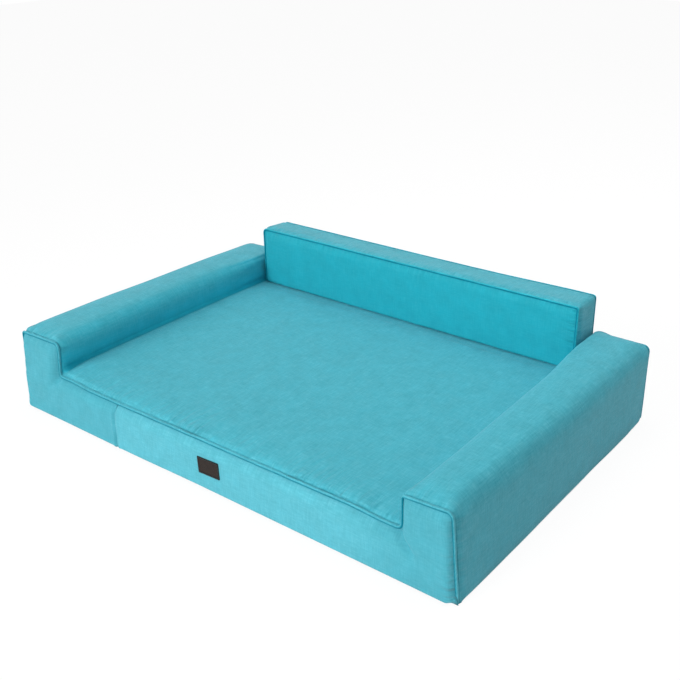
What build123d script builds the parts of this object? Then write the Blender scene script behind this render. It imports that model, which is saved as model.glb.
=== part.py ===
"""Sofa-shaped dog bed: a corded foam body with two arms, and a backrest that lifts off.

The bed stands on the plane z = 0. Its origin is under the middle of the bed, X runs along the
front to the right, Y runs from the front to the back, and Z is up. All sizes are in millimetres.

The body is a foam slab with two foam arms on it, in a zipped cover of piped upholstery cloth. The
cover's front and back are stepped panels that meet the long wrap at piped seams: a stout cord at
the front, and a thin one, level with the cloth, at the back. The backrest is a boxed cushion, piped
in the same way round both faces, and held to the mattress by hook-and-loop strips.
"""

import os
from collections import namedtuple
from math import cos, radians, sin

from build123d import *

# Overall sizes, over the corded seams
bed_width = 1000.0
bed_depth = 650.0
arm_height = 158.0
arm_width = 102.0
seat_height = 104.0
backrest_side_gap = 10.0
backrest_top = 233.0
backrest_thickness = 71.0
backrest_setback = 2.0

# Cloth, and the gaps between soft pieces
cloth_thickness = 1.2
panel_lift = 0.5
foam_gap = 0.3
rest_gap = 0.3
overrun = 20.0

# Piping: a cord in cloth, with the flat welt by which it is sewn into the seam
cord_radius = 2.75
thin_cord_radius = 1.1
cord_to_cloth_gap = 0.9
cord_tuck = 3.0
welt_width = 8.0
welt_thickness = 1.0
seam_roll = 10.0

# How the body swells behind its seams
front_roll = 84.0
back_roll = 36.0
body_swell = 3.0
front_bulge = 14.0
back_bulge = 13.0
bulge_spread = 24.0
least_corner_radius = 1.5

# Height of the seat at its seams, where the cloth is drawn down
front_seat_left = 91.0
front_seat_right = 95.0
back_seat = 97.0

# Corner radii of the stepped outline, in the order in which it is drawn: left floor, left arm
# outside, left arm inside, left of the seat, right of the seat, right arm inside, right arm
# outside, right floor
front_corner_radii = (14.0, 6.0, 13.0, 4.0, 9.0, 6.0, 14.0, 8.0)
back_corner_radii = (11.0, 12.0, 11.0, 5.0, 5.0, 11.0, 12.0, 11.0)
middle_corner_radii = (8.0, 28.0, 24.0, 4.0, 4.0, 24.0, 28.0, 8.0)
hollow_corners = (3, 4)
underside_margin = 20.0
underside_cut = 15.0

# Backrest cushion
backrest_swell = 2.5
backrest_front_bulge = 8.0
backrest_back_bulge = 5.0
backrest_floor_spread = 8.0
backrest_corner_radii = (9.0, 13.0, 12.0, 9.0)
backrest_middle_corner_radii = (9.0, 15.0, 15.0, 9.0)

# Hook-and-loop strips between the mattress and the backrest
strip_length = 200.0
strip_width = 24.0
strip_thickness = 1.4
strip_end_margin = 78.0

# Label, left bare
label_width = 50.0
label_height = 32.0
label_thickness = 1.2
label_corner_radius = 2.0
label_centre_height = 38.0
label_rim = 2.2
label_rim_depth = 0.3

# Upright join of the two lengths of front panel, from the left side
front_join_inset = 265.0

# Zips, each between the margins of a back panel, at a height above that panel's own floor
base_zip_margin = 70.0
base_zip_height = 28.0
backrest_zip_margin = 68.0
backrest_zip_height = 29.5
zip_slot_gap = 0.5
zip_slot_end = 8.0
tape_width = 12.5
tape_thickness = 0.6
tape_end = 5.0
coil_gap = 1.0
coil_width = 2.2
coil_wall = 0.9
coil_crown = 0.9
stop_length = 3.0
stop_overhang = 0.3

# Slider of a zip, and its pull
slider_length = 10.0
slider_gap = 0.3
slider_plate = 1.1
slider_flange = 1.1
slider_corner_radius = 1.6
neck_thickness = 0.5
neck_length = 3.0
bridge_length = 6.2
bridge_width = 1.4
bridge_bar = 0.8
bridge_room = 1.6
bridge_corner_radius = 0.9
pull_pin_radius = 0.5
pull_side_gap = 0.5
pull_arm_width = 1.2
pull_eye_length = 4.0
pull_length = 24.0
pull_tab_width = 6.4
pull_tip_radius = 2.2
pull_hole_radius = 1.3

# Sections along a roll as shares of it, and steps round a bulge in degrees
roll_shares = (0.0, 0.03, 0.075, 0.14, 0.26, 0.45, 0.7, 1.0)
foam_roll_shares = (0.26, 0.45, 0.7, 1.0)
back_roll_shares = (0.0, 0.07, 0.17, 0.36, 0.65, 1.0)
foam_back_roll_shares = (0.65, 1.0)
boxing_shares = (0.0, 0.04, 0.14, 0.3, 0.5, 0.7, 0.86, 0.96, 1.0)
foam_boxing_shares = (0.3, 0.5, 0.7)
bulge_angles = (0, 18, 36, 54, 72, 90)
foam_bulge_angles = (90, 54)

# Worked out from the sizes above
front_seam_y = -bed_depth / 2
back_seam_y = bed_depth / 2
front_join_x = front_join_inset - bed_width / 2
front_seats = (front_seat_left, front_seat_right)
back_seats = (back_seat, back_seat)
half_welt = welt_thickness / 2
foam_inset = cloth_thickness + foam_gap
backrest_width = bed_width - 2 * (arm_width + backrest_side_gap)
backrest_back_y = back_seam_y - backrest_setback
backrest_front_y = backrest_back_y - backrest_thickness
backrest_middle_y = (backrest_front_y + backrest_back_y) / 2
backrest_floor = seat_height + rest_gap
backrest_underside = seat_height + 2 * strip_thickness + rest_gap
strip_spacing = backrest_width - 2 * strip_end_margin - strip_length
base_zip_length = bed_width - 2 * base_zip_margin
backrest_zip_length = backrest_width - 2 * backrest_zip_margin
half_chain = coil_gap / 2 + coil_width
half_slider = half_chain + slider_gap + slider_flange
half_slot = half_slider + zip_slot_gap
half_tapes = coil_gap / 2 + tape_width
coil_height = coil_wall + coil_crown
zip_depth = tape_thickness + slider_gap + slider_plate + slider_gap

# A piped seam round one end of a body, with the panel that bulges out of it: its depth, the side
# that its panel faces, the radius of its cord, the length over which the cloth behind it swells,
# its panel's bulge, its corner radii, and the heights of the seat at its left and right
Seam = namedtuple("Seam", "y outward cord roll bulge corner_radii seats")
front_seam = Seam(
    front_seam_y, -1, cord_radius, front_roll, front_bulge, front_corner_radii, front_seats
)
back_seam = Seam(
    back_seam_y, 1, thin_cord_radius, back_roll, back_bulge, back_corner_radii, back_seats
)
backrest_front_seam = Seam(
    backrest_front_y,
    -1,
    cord_radius,
    backrest_thickness / 2,
    backrest_front_bulge,
    backrest_corner_radii,
    None,
)
backrest_back_seam = Seam(
    backrest_back_y,
    1,
    thin_cord_radius,
    backrest_thickness / 2,
    backrest_back_bulge,
    backrest_corner_radii,
    None,
)


def save(name, shape):
    """Write one piece, or a group of like pieces, to its own file."""
    export_step(shape, f"parts/{name}.step")


def rise(distance, length):
    """Share of its swell that the cloth has at a distance from a seam: none there, all at length."""
    share = min(distance / length, 1)
    return 1 - (1 - share) ** 2


def blend(start, end, share):
    """A value a share of the way from its start to its end."""
    return start + (end - start) * share


def span_box(x_range, y_range, z_range):
    """A block from its limits along the three axes."""
    size = [high - low for low, high in (x_range, y_range, z_range)]
    middle = [(low + high) / 2 for low, high in (x_range, y_range, z_range)]
    return Pos(*middle) * Box(*size)


def upright_plane(y):
    """Plane at depth y, seen from the front."""
    return Plane(origin=(0, y, 0), x_dir=(1, 0, 0), z_dir=(0, -1, 0))


def upright_face(points, corner_radii, y):
    """A filleted outline, drawn as seen from the front, as a face at depth y."""
    return upright_plane(y) * make_face(FilletPolyline(*points, radius=corner_radii, close=True))


def cloth_inset(seam):
    """Inset of the cloth at a seam, where it is sewn in below the cord."""
    return 2 * seam.cord + cord_to_cloth_gap


def foam_seam_inset(seam):
    """Inset of the foam at a seam, inside the welt."""
    return seam.cord + welt_width + foam_gap


def seam_rise(seam, distance):
    """Share of the way out that the cloth has come at a distance behind a seam, beside its cord."""
    return rise(max(distance - seam.cord / 2, 0), seam_roll)


def seam_inset(seam, distance, swell):
    """Inset of the cloth behind a seam: below the cord at the seam, swollen out further in."""
    drawn_in = cloth_inset(seam) * (1 - seam_rise(seam, distance))
    return drawn_in - swell * rise(distance, seam.roll)


def stepped_points(inset, floor, seat_left, seat_right):
    """Corners of the stepped outline, drawn in from the outside by an inset."""
    outer = bed_width / 2 - inset
    inner = bed_width / 2 - arm_width + inset
    top = arm_height - inset
    return [
        (-outer, floor),
        (-outer, top),
        (-inner, top),
        (-inner, seat_left - inset),
        (inner, seat_right - inset),
        (inner, top),
        (outer, top),
        (outer, floor),
    ]


def stepped_radii(corner_radii, inset):
    """Corner radii of the stepped outline drawn in by an inset, which opens its hollow corners."""
    return [
        radius + inset if corner in hollow_corners else max(radius - inset, least_corner_radius)
        for corner, radius in enumerate(corner_radii)
    ]


def backrest_points(inset, floor):
    """Corners of the backrest's outline, drawn in from the outside by an inset."""
    outer = backrest_width / 2 - inset
    top = backrest_top - inset
    return [(-outer, floor), (-outer, top), (outer, top), (outer, floor)]


def drawn_radii(corner_radii, inset):
    """Corner radii of an outline without hollow corners, drawn in by an inset."""
    return [max(radius - inset, least_corner_radius) for radius in corner_radii]


# The body's shape: faces across it, from which its cloth and its foam are lofted


def body_face(seam, distance, extra):
    """Section of the body at a distance behind one of its seams, drawn in by an extra inset."""
    inset = seam_inset(seam, distance, body_swell) + extra
    floor = seam_inset(seam, distance, 0) + extra
    share = rise(distance, seam.roll)
    corner_radii = [
        blend(at_seam, middle, share)
        for at_seam, middle in zip(seam.corner_radii, middle_corner_radii)
    ]
    # The swell lifts the seat by as much as it lifts the arms, and is taken off here again
    seat_left, seat_right = [blend(seat, seat_height - body_swell, share) for seat in seam.seats]
    points = stepped_points(inset, floor, seat_left, seat_right)
    y = seam.y - seam.outward * distance
    return upright_face(points, stepped_radii(corner_radii, inset), y)


def wrap_solid(extra):
    """The body between its seams, drawn in by an extra inset."""
    faces = []
    for share in roll_shares:
        faces.append(body_face(front_seam, blend(half_welt, front_roll, share), extra))
    for share in reversed(back_roll_shares):
        faces.append(body_face(back_seam, blend(half_welt, back_roll, share), extra))
    return loft(faces, ruled=True)


def underside_line(seam, shares):
    """Points of the underside from one of its seams to where it lies flat on the floor."""
    points = []
    for share in shares:
        distance = blend(half_welt, seam.roll, share)
        points.append((seam.y - seam.outward * distance, seam_inset(seam, distance, 0)))
        if seam_rise(seam, distance) == 1:
            break
    return points


def underside_cloth(half_width):
    """The cloth of the underside, flat on the floor and drawn up to the front and back seams."""
    line = underside_line(front_seam, roll_shares)
    line += reversed(underside_line(back_seam, back_roll_shares))
    line += [(y, z + cloth_thickness) for y, z in reversed(line)]
    plane = Plane(origin=(-half_width, 0, 0), x_dir=(0, 1, 0), z_dir=(1, 0, 0))
    return extrude(plane * make_face(Polyline(*line, close=True)), amount=2 * half_width)


def panel_face(seam, angle, extra):
    """Section of a stepped panel that bulges out of its seam, at an angle round the bulge."""
    climb = sin(radians(angle))
    inset = cloth_inset(seam) + bulge_spread * (1 - cos(radians(angle))) + extra
    # The panel's lower edge dips to the floor halfway out, and is tucked up at its seam
    floor = panel_lift + cloth_inset(seam) * (2 * climb - 1) ** 2 + extra
    y = seam.y + seam.outward * (half_welt + (seam.bulge - half_welt - extra) * climb)
    points = stepped_points(inset, floor, *seam.seats)
    return upright_face(points, stepped_radii(seam.corner_radii, inset), y)


def panel_shell(seam, section):
    """A panel of cloth, open towards the foam, from the sections round its bulge."""
    outer, inner = [
        loft([section(seam, angle, extra) for angle in bulge_angles], ruled=True)
        for extra in (0, cloth_thickness)
    ]
    return outer - inner


def foam_seam_faces(seam, face):
    """The foam's two sections beside a seam, outer one first, each just clear of the welt."""
    extra = foam_seam_inset(seam) - seam_inset(seam, half_welt, 0)
    inner = face(seam, half_welt, extra)
    return [Pos(0, seam.outward * welt_thickness, 0) * inner, inner]


def body_foam():
    """All the foam of the body in one piece, from its front face to its back face."""
    faces = [panel_face(front_seam, angle, foam_inset) for angle in foam_bulge_angles]
    faces += foam_seam_faces(front_seam, body_face)
    for share in foam_roll_shares:
        faces.append(body_face(front_seam, blend(half_welt, front_roll, share), foam_inset))
    for share in reversed(foam_back_roll_shares):
        faces.append(body_face(back_seam, blend(half_welt, back_roll, share), foam_inset))
    faces += reversed(foam_seam_faces(back_seam, body_face))
    faces += [panel_face(back_seam, angle, foam_inset) for angle in reversed(foam_bulge_angles)]
    return loft(faces, ruled=True)


# Piping


def cord_and_welt(seam, path, ring):
    """A cord swept along its path, with the flat welt that holds it in the seam."""
    tube = sweep(Plane(origin=path @ 0, z_dir=path % 0) * Circle(seam.cord), path=path)
    return tube + extrude(ring, amount=half_welt, both=True)


def body_piping(seam):
    """Piped seam of the body's front or back, up from the floor on both sides."""
    points = stepped_points(seam.cord, seam.cord, *seam.seats)
    radii = stepped_radii(seam.corner_radii, seam.cord)
    start = (points[0][0] + seam.corner_radii[0] + cord_tuck, seam.cord)
    end = (points[-1][0] - seam.corner_radii[-1] - cord_tuck, seam.cord)
    line = FilletPolyline(start, *points, end, radius=radii)
    path = Wire((upright_plane(seam.y) * line).edges())
    outer = upright_face(points, radii, seam.y)
    inner_inset = seam.cord + welt_width
    inner_points = stepped_points(inner_inset, inner_inset, *seam.seats)
    inner = upright_face(inner_points, stepped_radii(seam.corner_radii, inner_inset), seam.y)
    # Along the floor the seam has no cord, so the welt stops with the cord's ends
    strip = span_box(
        (start[0], end[0]),
        (seam.y - overrun, seam.y + overrun),
        (-overrun, 2 * welt_width),
    )
    return cord_and_welt(seam, path, outer - inner - strip)


def backrest_piping(seam):
    """Piped seam round one face of the backrest."""
    points = backrest_points(seam.cord, backrest_floor + seam.cord)
    radii = drawn_radii(seam.corner_radii, seam.cord)
    outer = upright_face(points, radii, seam.y)
    path = Wire(outer.edges())
    inner_inset = seam.cord + welt_width
    inner_points = backrest_points(inner_inset, backrest_floor + inner_inset)
    inner = upright_face(inner_points, drawn_radii(seam.corner_radii, inner_inset), seam.y)
    return cord_and_welt(seam, path, outer - inner)


# The backrest's shape


def boxing_face(seam, distance, extra):
    """Section of the backrest's edge band at a distance behind the nearer of its seams."""
    share = rise(distance, seam.roll)
    inset = seam_inset(seam, distance, backrest_swell) + extra
    at_seam = backrest_floor + cloth_inset(seam)
    floor = blend(at_seam, backrest_underside, seam_rise(seam, distance)) + extra
    corner_radii = [
        blend(at_seam_radius, middle, share)
        for at_seam_radius, middle in zip(seam.corner_radii, backrest_middle_corner_radii)
    ]
    points = backrest_points(inset, floor)
    y = seam.y - seam.outward * distance
    return upright_face(points, drawn_radii(corner_radii, inset), y)


def backrest_panel_face(seam, angle, extra):
    """Section of a backrest panel that bulges out of its seam, at an angle round the bulge."""
    turned = 1 - cos(radians(angle))
    inset = cloth_inset(seam) + bulge_spread * turned + extra
    floor = backrest_floor + cloth_inset(seam) + backrest_floor_spread * turned + extra
    y = seam.y + seam.outward * (half_welt + (seam.bulge - half_welt - extra) * sin(radians(angle)))
    return upright_face(backrest_points(inset, floor), drawn_radii(seam.corner_radii, inset), y)


def boxing_faces(shares, extra):
    """Sections of the backrest's edge band, at shares of the way from one seam to the other."""
    faces = []
    for share in shares:
        distance = blend(half_welt, backrest_thickness - half_welt, share)
        if distance <= backrest_thickness / 2:
            faces.append(boxing_face(backrest_front_seam, distance, extra))
        else:
            faces.append(boxing_face(backrest_back_seam, backrest_thickness - distance, extra))
    return faces


def boxing_shell():
    """The band of cloth round the backrest's edge, between its two piped seams."""
    outer, inner = [
        loft(boxing_faces(boxing_shares, extra), ruled=True) for extra in (0, cloth_thickness)
    ]
    return outer - inner


def backrest_foam_solid():
    """The backrest's foam block, from its front face to its back face."""
    faces = [
        backrest_panel_face(backrest_front_seam, angle, foam_inset) for angle in foam_bulge_angles
    ]
    faces += foam_seam_faces(backrest_front_seam, boxing_face)
    faces += boxing_faces(foam_boxing_shares, foam_inset)
    faces += reversed(foam_seam_faces(backrest_back_seam, boxing_face))
    for angle in reversed(foam_bulge_angles):
        faces.append(backrest_panel_face(backrest_back_seam, angle, foam_inset))
    return loft(faces, ruled=True)


# Zips


def zip_slot(length, face_y, height):
    """What is cut from a back panel for its zip."""
    half = length / 2 + zip_slot_end
    return span_box(
        (-half, half),
        (face_y - overrun, face_y + overrun),
        (height - half_slot, height + half_slot),
    )


def zip_groove(length, face_y, height):
    """What is cut from the foam behind a zip, for its tapes and the inner plate of its slider."""
    half = length / 2 + tape_end + foam_gap
    half_height = half_tapes + foam_gap
    return span_box(
        (-half, half),
        (face_y - cloth_thickness - zip_depth, face_y + overrun),
        (height - half_height, height + half_height),
    )


def zip_tape(length, face_y, height, side):
    """The woven tape above (side 1) or below (side -1) the middle of a zip."""
    half = length / 2 + tape_end
    outside = face_y - cloth_thickness
    limits = sorted((height + side * coil_gap / 2, height + side * half_tapes))
    return span_box((-half, half), (outside - tape_thickness, outside), limits)


def zip_coil(length, face_y, height, side):
    """The coil on one tape, as the round-backed ridge that it looks like."""
    near = side * coil_gap / 2
    far = side * half_chain
    outside = face_y - cloth_thickness
    plane = Plane(origin=(-length / 2, outside, height), x_dir=(0, 1, 0), z_dir=(1, 0, 0))
    wall = Polyline((coil_wall, near), (0, near), (0, far), (coil_wall, far))
    crown = ThreePointArc((coil_wall, far), (coil_height, (near + far) / 2), (coil_wall, near))
    return extrude(plane * make_face(wall + crown), amount=length)


def zip_stops(length, face_y, height):
    """Two top stops, one on each coil, and the bottom stop that joins both."""
    outside = face_y - cloth_thickness
    depth_range = (outside, outside + coil_height + stop_overhang)
    reach = half_chain + stop_overhang
    stops = []
    for side in (1, -1):
        limits = sorted((height + side * coil_gap / 2, height + side * reach))
        stops.append(span_box((length / 2, length / 2 + stop_length), depth_range, limits))
    bottom_range = (-length / 2 - stop_length, -length / 2)
    stops.append(span_box(bottom_range, depth_range, (height - reach, height + reach)))
    return Compound(stops)


def slider_centre(length):
    """Where a slider rests when its zip is closed: against the top stops."""
    return length / 2 - slider_gap - slider_length / 2


def slider_plate_solid(x, y_low, height):
    """One plate of a slider, with its inner face at y_low."""
    outline = RectangleRounded(slider_length, 2 * half_slider, slider_corner_radius)
    plane = Plane(origin=(x, y_low, height), x_dir=(1, 0, 0), z_dir=(0, 1, 0))
    return extrude(plane * outline, amount=slider_plate)


def zip_slider(length, face_y, height):
    """Slider: two plates, the neck between the coils, side flanges, and the bridge for the pull."""
    x = slider_centre(length)
    outside = face_y - cloth_thickness
    half = slider_length / 2
    plate_inside = outside + coil_height + slider_gap
    plate_outside = plate_inside + slider_plate
    back_inside = outside - tape_thickness - slider_gap
    body = slider_plate_solid(x, plate_inside, height)
    body += slider_plate_solid(x, back_inside - slider_plate, height)
    body += span_box(
        (x + half - slider_corner_radius - neck_length, x + half - slider_corner_radius),
        (back_inside - slider_plate, plate_outside),
        (height - neck_thickness / 2, height + neck_thickness / 2),
    )
    for side in (1, -1):
        limits = sorted((height + side * (half_chain + slider_gap), height + side * half_slider))
        body += span_box(
            (x - half + slider_corner_radius, x + half - slider_corner_radius),
            (outside + slider_gap, plate_outside),
            limits,
        )
    return body + slider_bridge(x, plate_outside, height)


def slider_bridge(x, foot_y, height):
    """The bridge on a slider: a bar on two legs, under which the pull's pin lies."""
    half = bridge_length / 2
    top = bridge_room + bridge_bar
    outline = FilletPolyline(
        (-half, -slider_plate / 2),
        (-half, top),
        (half, top),
        (half, -slider_plate / 2),
        radius=bridge_corner_radius,
    )
    foot = Line((half, -slider_plate / 2), (-half, -slider_plate / 2))
    plane = Plane(origin=(x, foot_y, height), x_dir=(1, 0, 0), z_dir=(0, 0, 1))
    arch = extrude(plane * make_face(outline + foot), amount=bridge_width / 2, both=True)
    room = span_box(
        (x - half + bridge_bar, x + half - bridge_bar),
        (foot_y, foot_y + bridge_room),
        (height - bridge_width, height + bridge_width),
    )
    return arch - room


def pull_axis_y(face_y):
    """Depth of the pull's pin, in the middle of the room under its bridge."""
    outside = face_y - cloth_thickness
    return outside + coil_height + slider_gap + slider_plate + bridge_room / 2


def zip_pull(length, face_y, height):
    """Pull: a pin under the bridge, two arms beside it, and a tab with a hole near its tip."""
    eye = bridge_width / 2 + pull_side_gap
    half_arms = eye + pull_arm_width
    half_tab = pull_tab_width / 2
    shoulder = pull_eye_length + pull_arm_width
    tip = pull_length
    outline = FilletPolyline(
        (-pull_arm_width, half_arms),
        (-shoulder, half_tab),
        (-tip, half_tab),
        (-tip, -half_tab),
        (-shoulder, -half_tab),
        (-pull_arm_width, -half_arms),
        radius=[pull_arm_width, pull_tip_radius, pull_tip_radius, pull_arm_width],
    )
    root = Polyline(
        (-pull_arm_width, -half_arms), (0, -half_arms), (0, half_arms), (-pull_arm_width, half_arms)
    )
    tab = make_face(outline + root)
    tab -= Pos((-pull_eye_length) / 2, 0) * Rectangle(pull_eye_length, 2 * eye)
    tab -= Pos(-tip + half_tab, 0) * Circle(pull_hole_radius)
    x = slider_centre(length)
    plane = Plane(origin=(x, pull_axis_y(face_y), height), x_dir=(1, 0, 0), z_dir=(0, -1, 0))
    pin_plane = Plane(origin=(x, pull_axis_y(face_y), height - half_arms), z_dir=(0, 0, 1))
    pin = extrude(pin_plane * Circle(pull_pin_radius), amount=2 * half_arms)
    return extrude(plane * tab, amount=pull_pin_radius, both=True) + pin


def save_zip(prefix, length, face_y, height):
    """Write every piece of one zip."""
    for name, side in (("upper", 1), ("lower", -1)):
        save(f"{prefix}_zip_tape_{name}", zip_tape(length, face_y, height, side))
        save(f"{prefix}_zip_coil_{name}", zip_coil(length, face_y, height, side))
    save(f"{prefix}_zip_stops", zip_stops(length, face_y, height))
    save(f"{prefix}_zip_slider", zip_slider(length, face_y, height))
    save(f"{prefix}_zip_pull", zip_pull(length, face_y, height))
    travel = length - slider_length - 2 * slider_gap
    print(prefix, "zip: closed at x", slider_centre(length), "height", height, "travel", travel)
    print(prefix, "pull axis y", pull_axis_y(face_y))


# Small pieces


def label_plate():
    """The bare label on the front panel, with a rim round its face."""
    face_y = front_seam_y - front_bulge
    plane = Plane(origin=(0, face_y, label_centre_height), x_dir=(1, 0, 0), z_dir=(0, -1, 0))
    outline = RectangleRounded(label_width, label_height, label_corner_radius)
    field = Rectangle(label_width - 2 * label_rim, label_height - 2 * label_rim)
    plate = extrude(plane * outline, amount=label_thickness)
    sunk = plane.offset(label_thickness - label_rim_depth) * field
    return plate - extrude(sunk, amount=label_rim_depth)


def strips(z):
    """A pair of strips under the backrest, lying from z up."""
    y_range = (backrest_middle_y - strip_width / 2, backrest_middle_y + strip_width / 2)
    pair = []
    for side in (1, -1):
        middle = side * strip_spacing / 2
        x_range = (middle - strip_length / 2, middle + strip_length / 2)
        pair.append(span_box(x_range, y_range, (z, z + strip_thickness)))
    return Compound(pair)


# Body

wrap = wrap_solid(0) - wrap_solid(cloth_thickness)
half_underside = bed_width / 2 - underside_margin
underside = span_box(
    (-half_underside, half_underside),
    (front_seam_y - overrun, back_seam_y + overrun),
    (-overrun, underside_cut),
)
save("base_cover_wrap", wrap - underside)
save("bottom_panel", underside_cloth(half_underside))

front_panel = panel_shell(front_seam, panel_face)
left_side = span_box(
    (-bed_width, front_join_x),
    (front_seam_y - overrun, front_seam_y + overrun),
    (-overrun, arm_height + overrun),
)
save("front_panel_left", front_panel & left_side)
save("front_panel_right", front_panel - left_side)

back_face_y = back_seam_y + back_bulge
back_panel = panel_shell(back_seam, panel_face)
save("rear_panel", back_panel - zip_slot(base_zip_length, back_face_y, base_zip_height))

save("base_front_piping", body_piping(front_seam))
save("base_rear_piping", body_piping(back_seam))

foam = body_foam()
arm_floor = seat_height - foam_inset
slab = span_box((-bed_width, bed_width), (-bed_depth, bed_depth), (-overrun, arm_floor))
arm_heights = (arm_floor, arm_height + overrun)
left_half = span_box((-bed_width, 0), (-bed_depth, bed_depth), arm_heights)
right_half = span_box((0, bed_width), (-bed_depth, bed_depth), arm_heights)
save("mattress_foam", (foam & slab) - zip_groove(base_zip_length, back_face_y, base_zip_height))
save("left_arm_foam", foam & left_half)
save("right_arm_foam", foam & right_half)

save("label_patch", label_plate())
save("base_loop_strips", strips(seat_height))
save_zip("base", base_zip_length, back_face_y, base_zip_height)

# Backrest

backrest_zip_z = backrest_floor + backrest_zip_height
backrest_back_face_y = backrest_back_y + backrest_back_bulge
save("backrest_boxing", boxing_shell())
save("backrest_front_panel", panel_shell(backrest_front_seam, backrest_panel_face))
backrest_back_panel = panel_shell(backrest_back_seam, backrest_panel_face)
backrest_slot = zip_slot(backrest_zip_length, backrest_back_face_y, backrest_zip_z)
save("backrest_rear_panel", backrest_back_panel - backrest_slot)
save("backrest_front_piping", backrest_piping(backrest_front_seam))
save("backrest_rear_piping", backrest_piping(backrest_back_seam))
backrest_groove = zip_groove(backrest_zip_length, backrest_back_face_y, backrest_zip_z)
save("backrest_foam", backrest_foam_solid() - backrest_groove)
save("backrest_hook_strips", strips(backrest_underside - strip_thickness))
save_zip("backrest", backrest_zip_length, backrest_back_face_y, backrest_zip_z)
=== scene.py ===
"""Looks of the sofa-shaped dog bed: its padded covers, corded seams, label, zips and hook-and-loop strips.

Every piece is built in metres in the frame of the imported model, and rides on one of its bodies.
"""

from math import atan2, cos, pi, radians, sin, tan

import bmesh
import bpy
import numpy as np
from mathutils import Matrix, Vector
from mathutils.kdtree import KDTree


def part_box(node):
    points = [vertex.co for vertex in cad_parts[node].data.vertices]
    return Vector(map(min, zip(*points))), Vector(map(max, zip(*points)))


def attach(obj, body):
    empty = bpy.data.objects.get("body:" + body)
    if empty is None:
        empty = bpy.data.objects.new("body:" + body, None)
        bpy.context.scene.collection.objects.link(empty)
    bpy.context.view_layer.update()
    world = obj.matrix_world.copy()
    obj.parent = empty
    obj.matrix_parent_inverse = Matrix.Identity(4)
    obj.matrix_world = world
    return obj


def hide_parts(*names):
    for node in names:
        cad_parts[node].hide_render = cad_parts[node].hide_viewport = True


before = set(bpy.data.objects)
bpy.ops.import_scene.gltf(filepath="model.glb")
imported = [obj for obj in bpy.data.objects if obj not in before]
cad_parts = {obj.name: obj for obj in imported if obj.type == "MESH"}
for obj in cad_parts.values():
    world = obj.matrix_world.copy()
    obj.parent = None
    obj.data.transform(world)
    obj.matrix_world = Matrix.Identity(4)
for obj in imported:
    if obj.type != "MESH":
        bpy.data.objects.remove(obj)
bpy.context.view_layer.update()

bl_info = {
    "name": "Corded dog bed",
    "version": (1, 0, 0),
    "blender": (4, 5, 0),
    "location": "3D View > Sidebar > Dog bed",
    "description": "Padded covers, corded seams, label and zips of a sofa-shaped dog bed",
    "category": "Add Mesh",
}

LABEL_LOW, LABEL_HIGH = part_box("label_patch")

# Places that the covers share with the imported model, in metres
FRONT_SEAM = -0.325
BACK_SEAM = 0.325
ARM_TOP = 0.158
ARM_WIDTH = 0.102
HALF_WIDTH = 0.5
SEAT = 0.104
SEAT_LEFT, SEAT_RIGHT, SEAT_BACK = 0.091, 0.095, 0.097
CORD_RADIUS = 0.00275
THIN_CORD_RADIUS = 0.0011
FRONT_TUCK = 0.0032
BACK_TUCK = 0.001
TUCK_ROLL = 0.009
FRONT_FACE = -0.339
BACK_FACE = 0.338
HALF_UNDERSIDE = 0.48
UNDERSIDE_CLOTH = 0.0013
JOIN_X = -0.2265
SEAT_HALF, SEAT_HIGHEST = 0.39, 0.12
REST_HALF, REST_FRONT, REST_BACK = 0.386, 0.232, 0.308
BACKREST_FRONT_SEAM = 0.252
BACKREST_BACK_SEAM = 0.323
BACKREST_HALF = 0.388
BACKREST_TOP = 0.233
BACKREST_FLOOR = 0.1043
BACKREST_LOWER_SEAM = BACKREST_FLOOR + 0.0032
BACKREST_UNDERSIDE = 0.1071
BACKREST_FRONT_FACE = 0.244
BACKREST_BACK_FACE = 0.328
HALF_WELT = 0.0005
WELT_DEPTH = 0.008
SEAM_GAP = HALF_WELT * 0.98
CREASE_X = HALF_WIDTH - ARM_WIDTH - 0.0068
CREASE_Z = SEAT + 0.0037

# Corner radii of the stepped outline: left floor, left arm outside and inside, left of the seat,
# right of the seat, right arm inside and outside, right floor
FRONT_CORNERS = (0.014, 0.006, 0.013, 0.004, 0.009, 0.006, 0.014, 0.003)
BACK_CORNERS = (0.011, 0.012, 0.011, 0.005, 0.005, 0.011, 0.012, 0.011)
MIDDLE_CORNERS = (0.004, 0.018, 0.026, 0.003, 0.003, 0.026, 0.03, 0.004)
HOLLOW_CORNERS = (3, 4)
BACKREST_CORNERS = (0.007, 0.011, 0.006, 0.007)
BACKREST_MIDDLE = (0.007, 0.012, 0.008, 0.007)

# Sections of a solid: shares of the way from a seam to a panel's flat middle, and distances behind a seam
PANEL_SHARES = (1.0, 0.8, 0.62, 0.46, 0.32, 0.2, 0.1, 0.04)
NEAR_SEAM = (0.0, 0.0015, 0.004, 0.007, 0.011, 0.016, 0.022)

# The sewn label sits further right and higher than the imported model's, and a little askew
LABEL_RIGHT, LABEL_UP = 0.015, 0.0135
LABEL_TURN = radians(2.6)

# Each zip: its pocket's floor, half the lengths of its slot and of its tapes, and its height
BASE_ZIP = (0.3332, 0.438, 0.4353, 0.028)
BACKREST_ZIP = (0.3236, 0.328, 0.3253, 0.1338)
HALF_SLOT, HALF_POCKET = 0.0046, 0.0133
# Body, its face round the zip, and half the length of the rows of stitches beside the zip
ZIP_SEAMS = (("base", BACK_FACE, 0.436), ("backrest", BACKREST_BACK_FACE, 0.3262))
ZIP_SEAM_OFFSET = 0.0072
STRIP_LENGTH, STRIP_SEAM_MARGIN = 0.2, 0.003

# Share of its furthest swell that cloth has where the foam behind it is even
PLAIN_SWELL = 0.8

# Turn of cloth that is cut on the bias, sides of a round cord, and spacing of the points along a seam
BIAS = radians(45)
CORD_SIDES = 14
SPACING = 0.003
# Steps of each arc and each straight run of a fine outline
FINE_STEPS = (12, 40)
CORD_STEPS = (12, 30)


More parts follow.
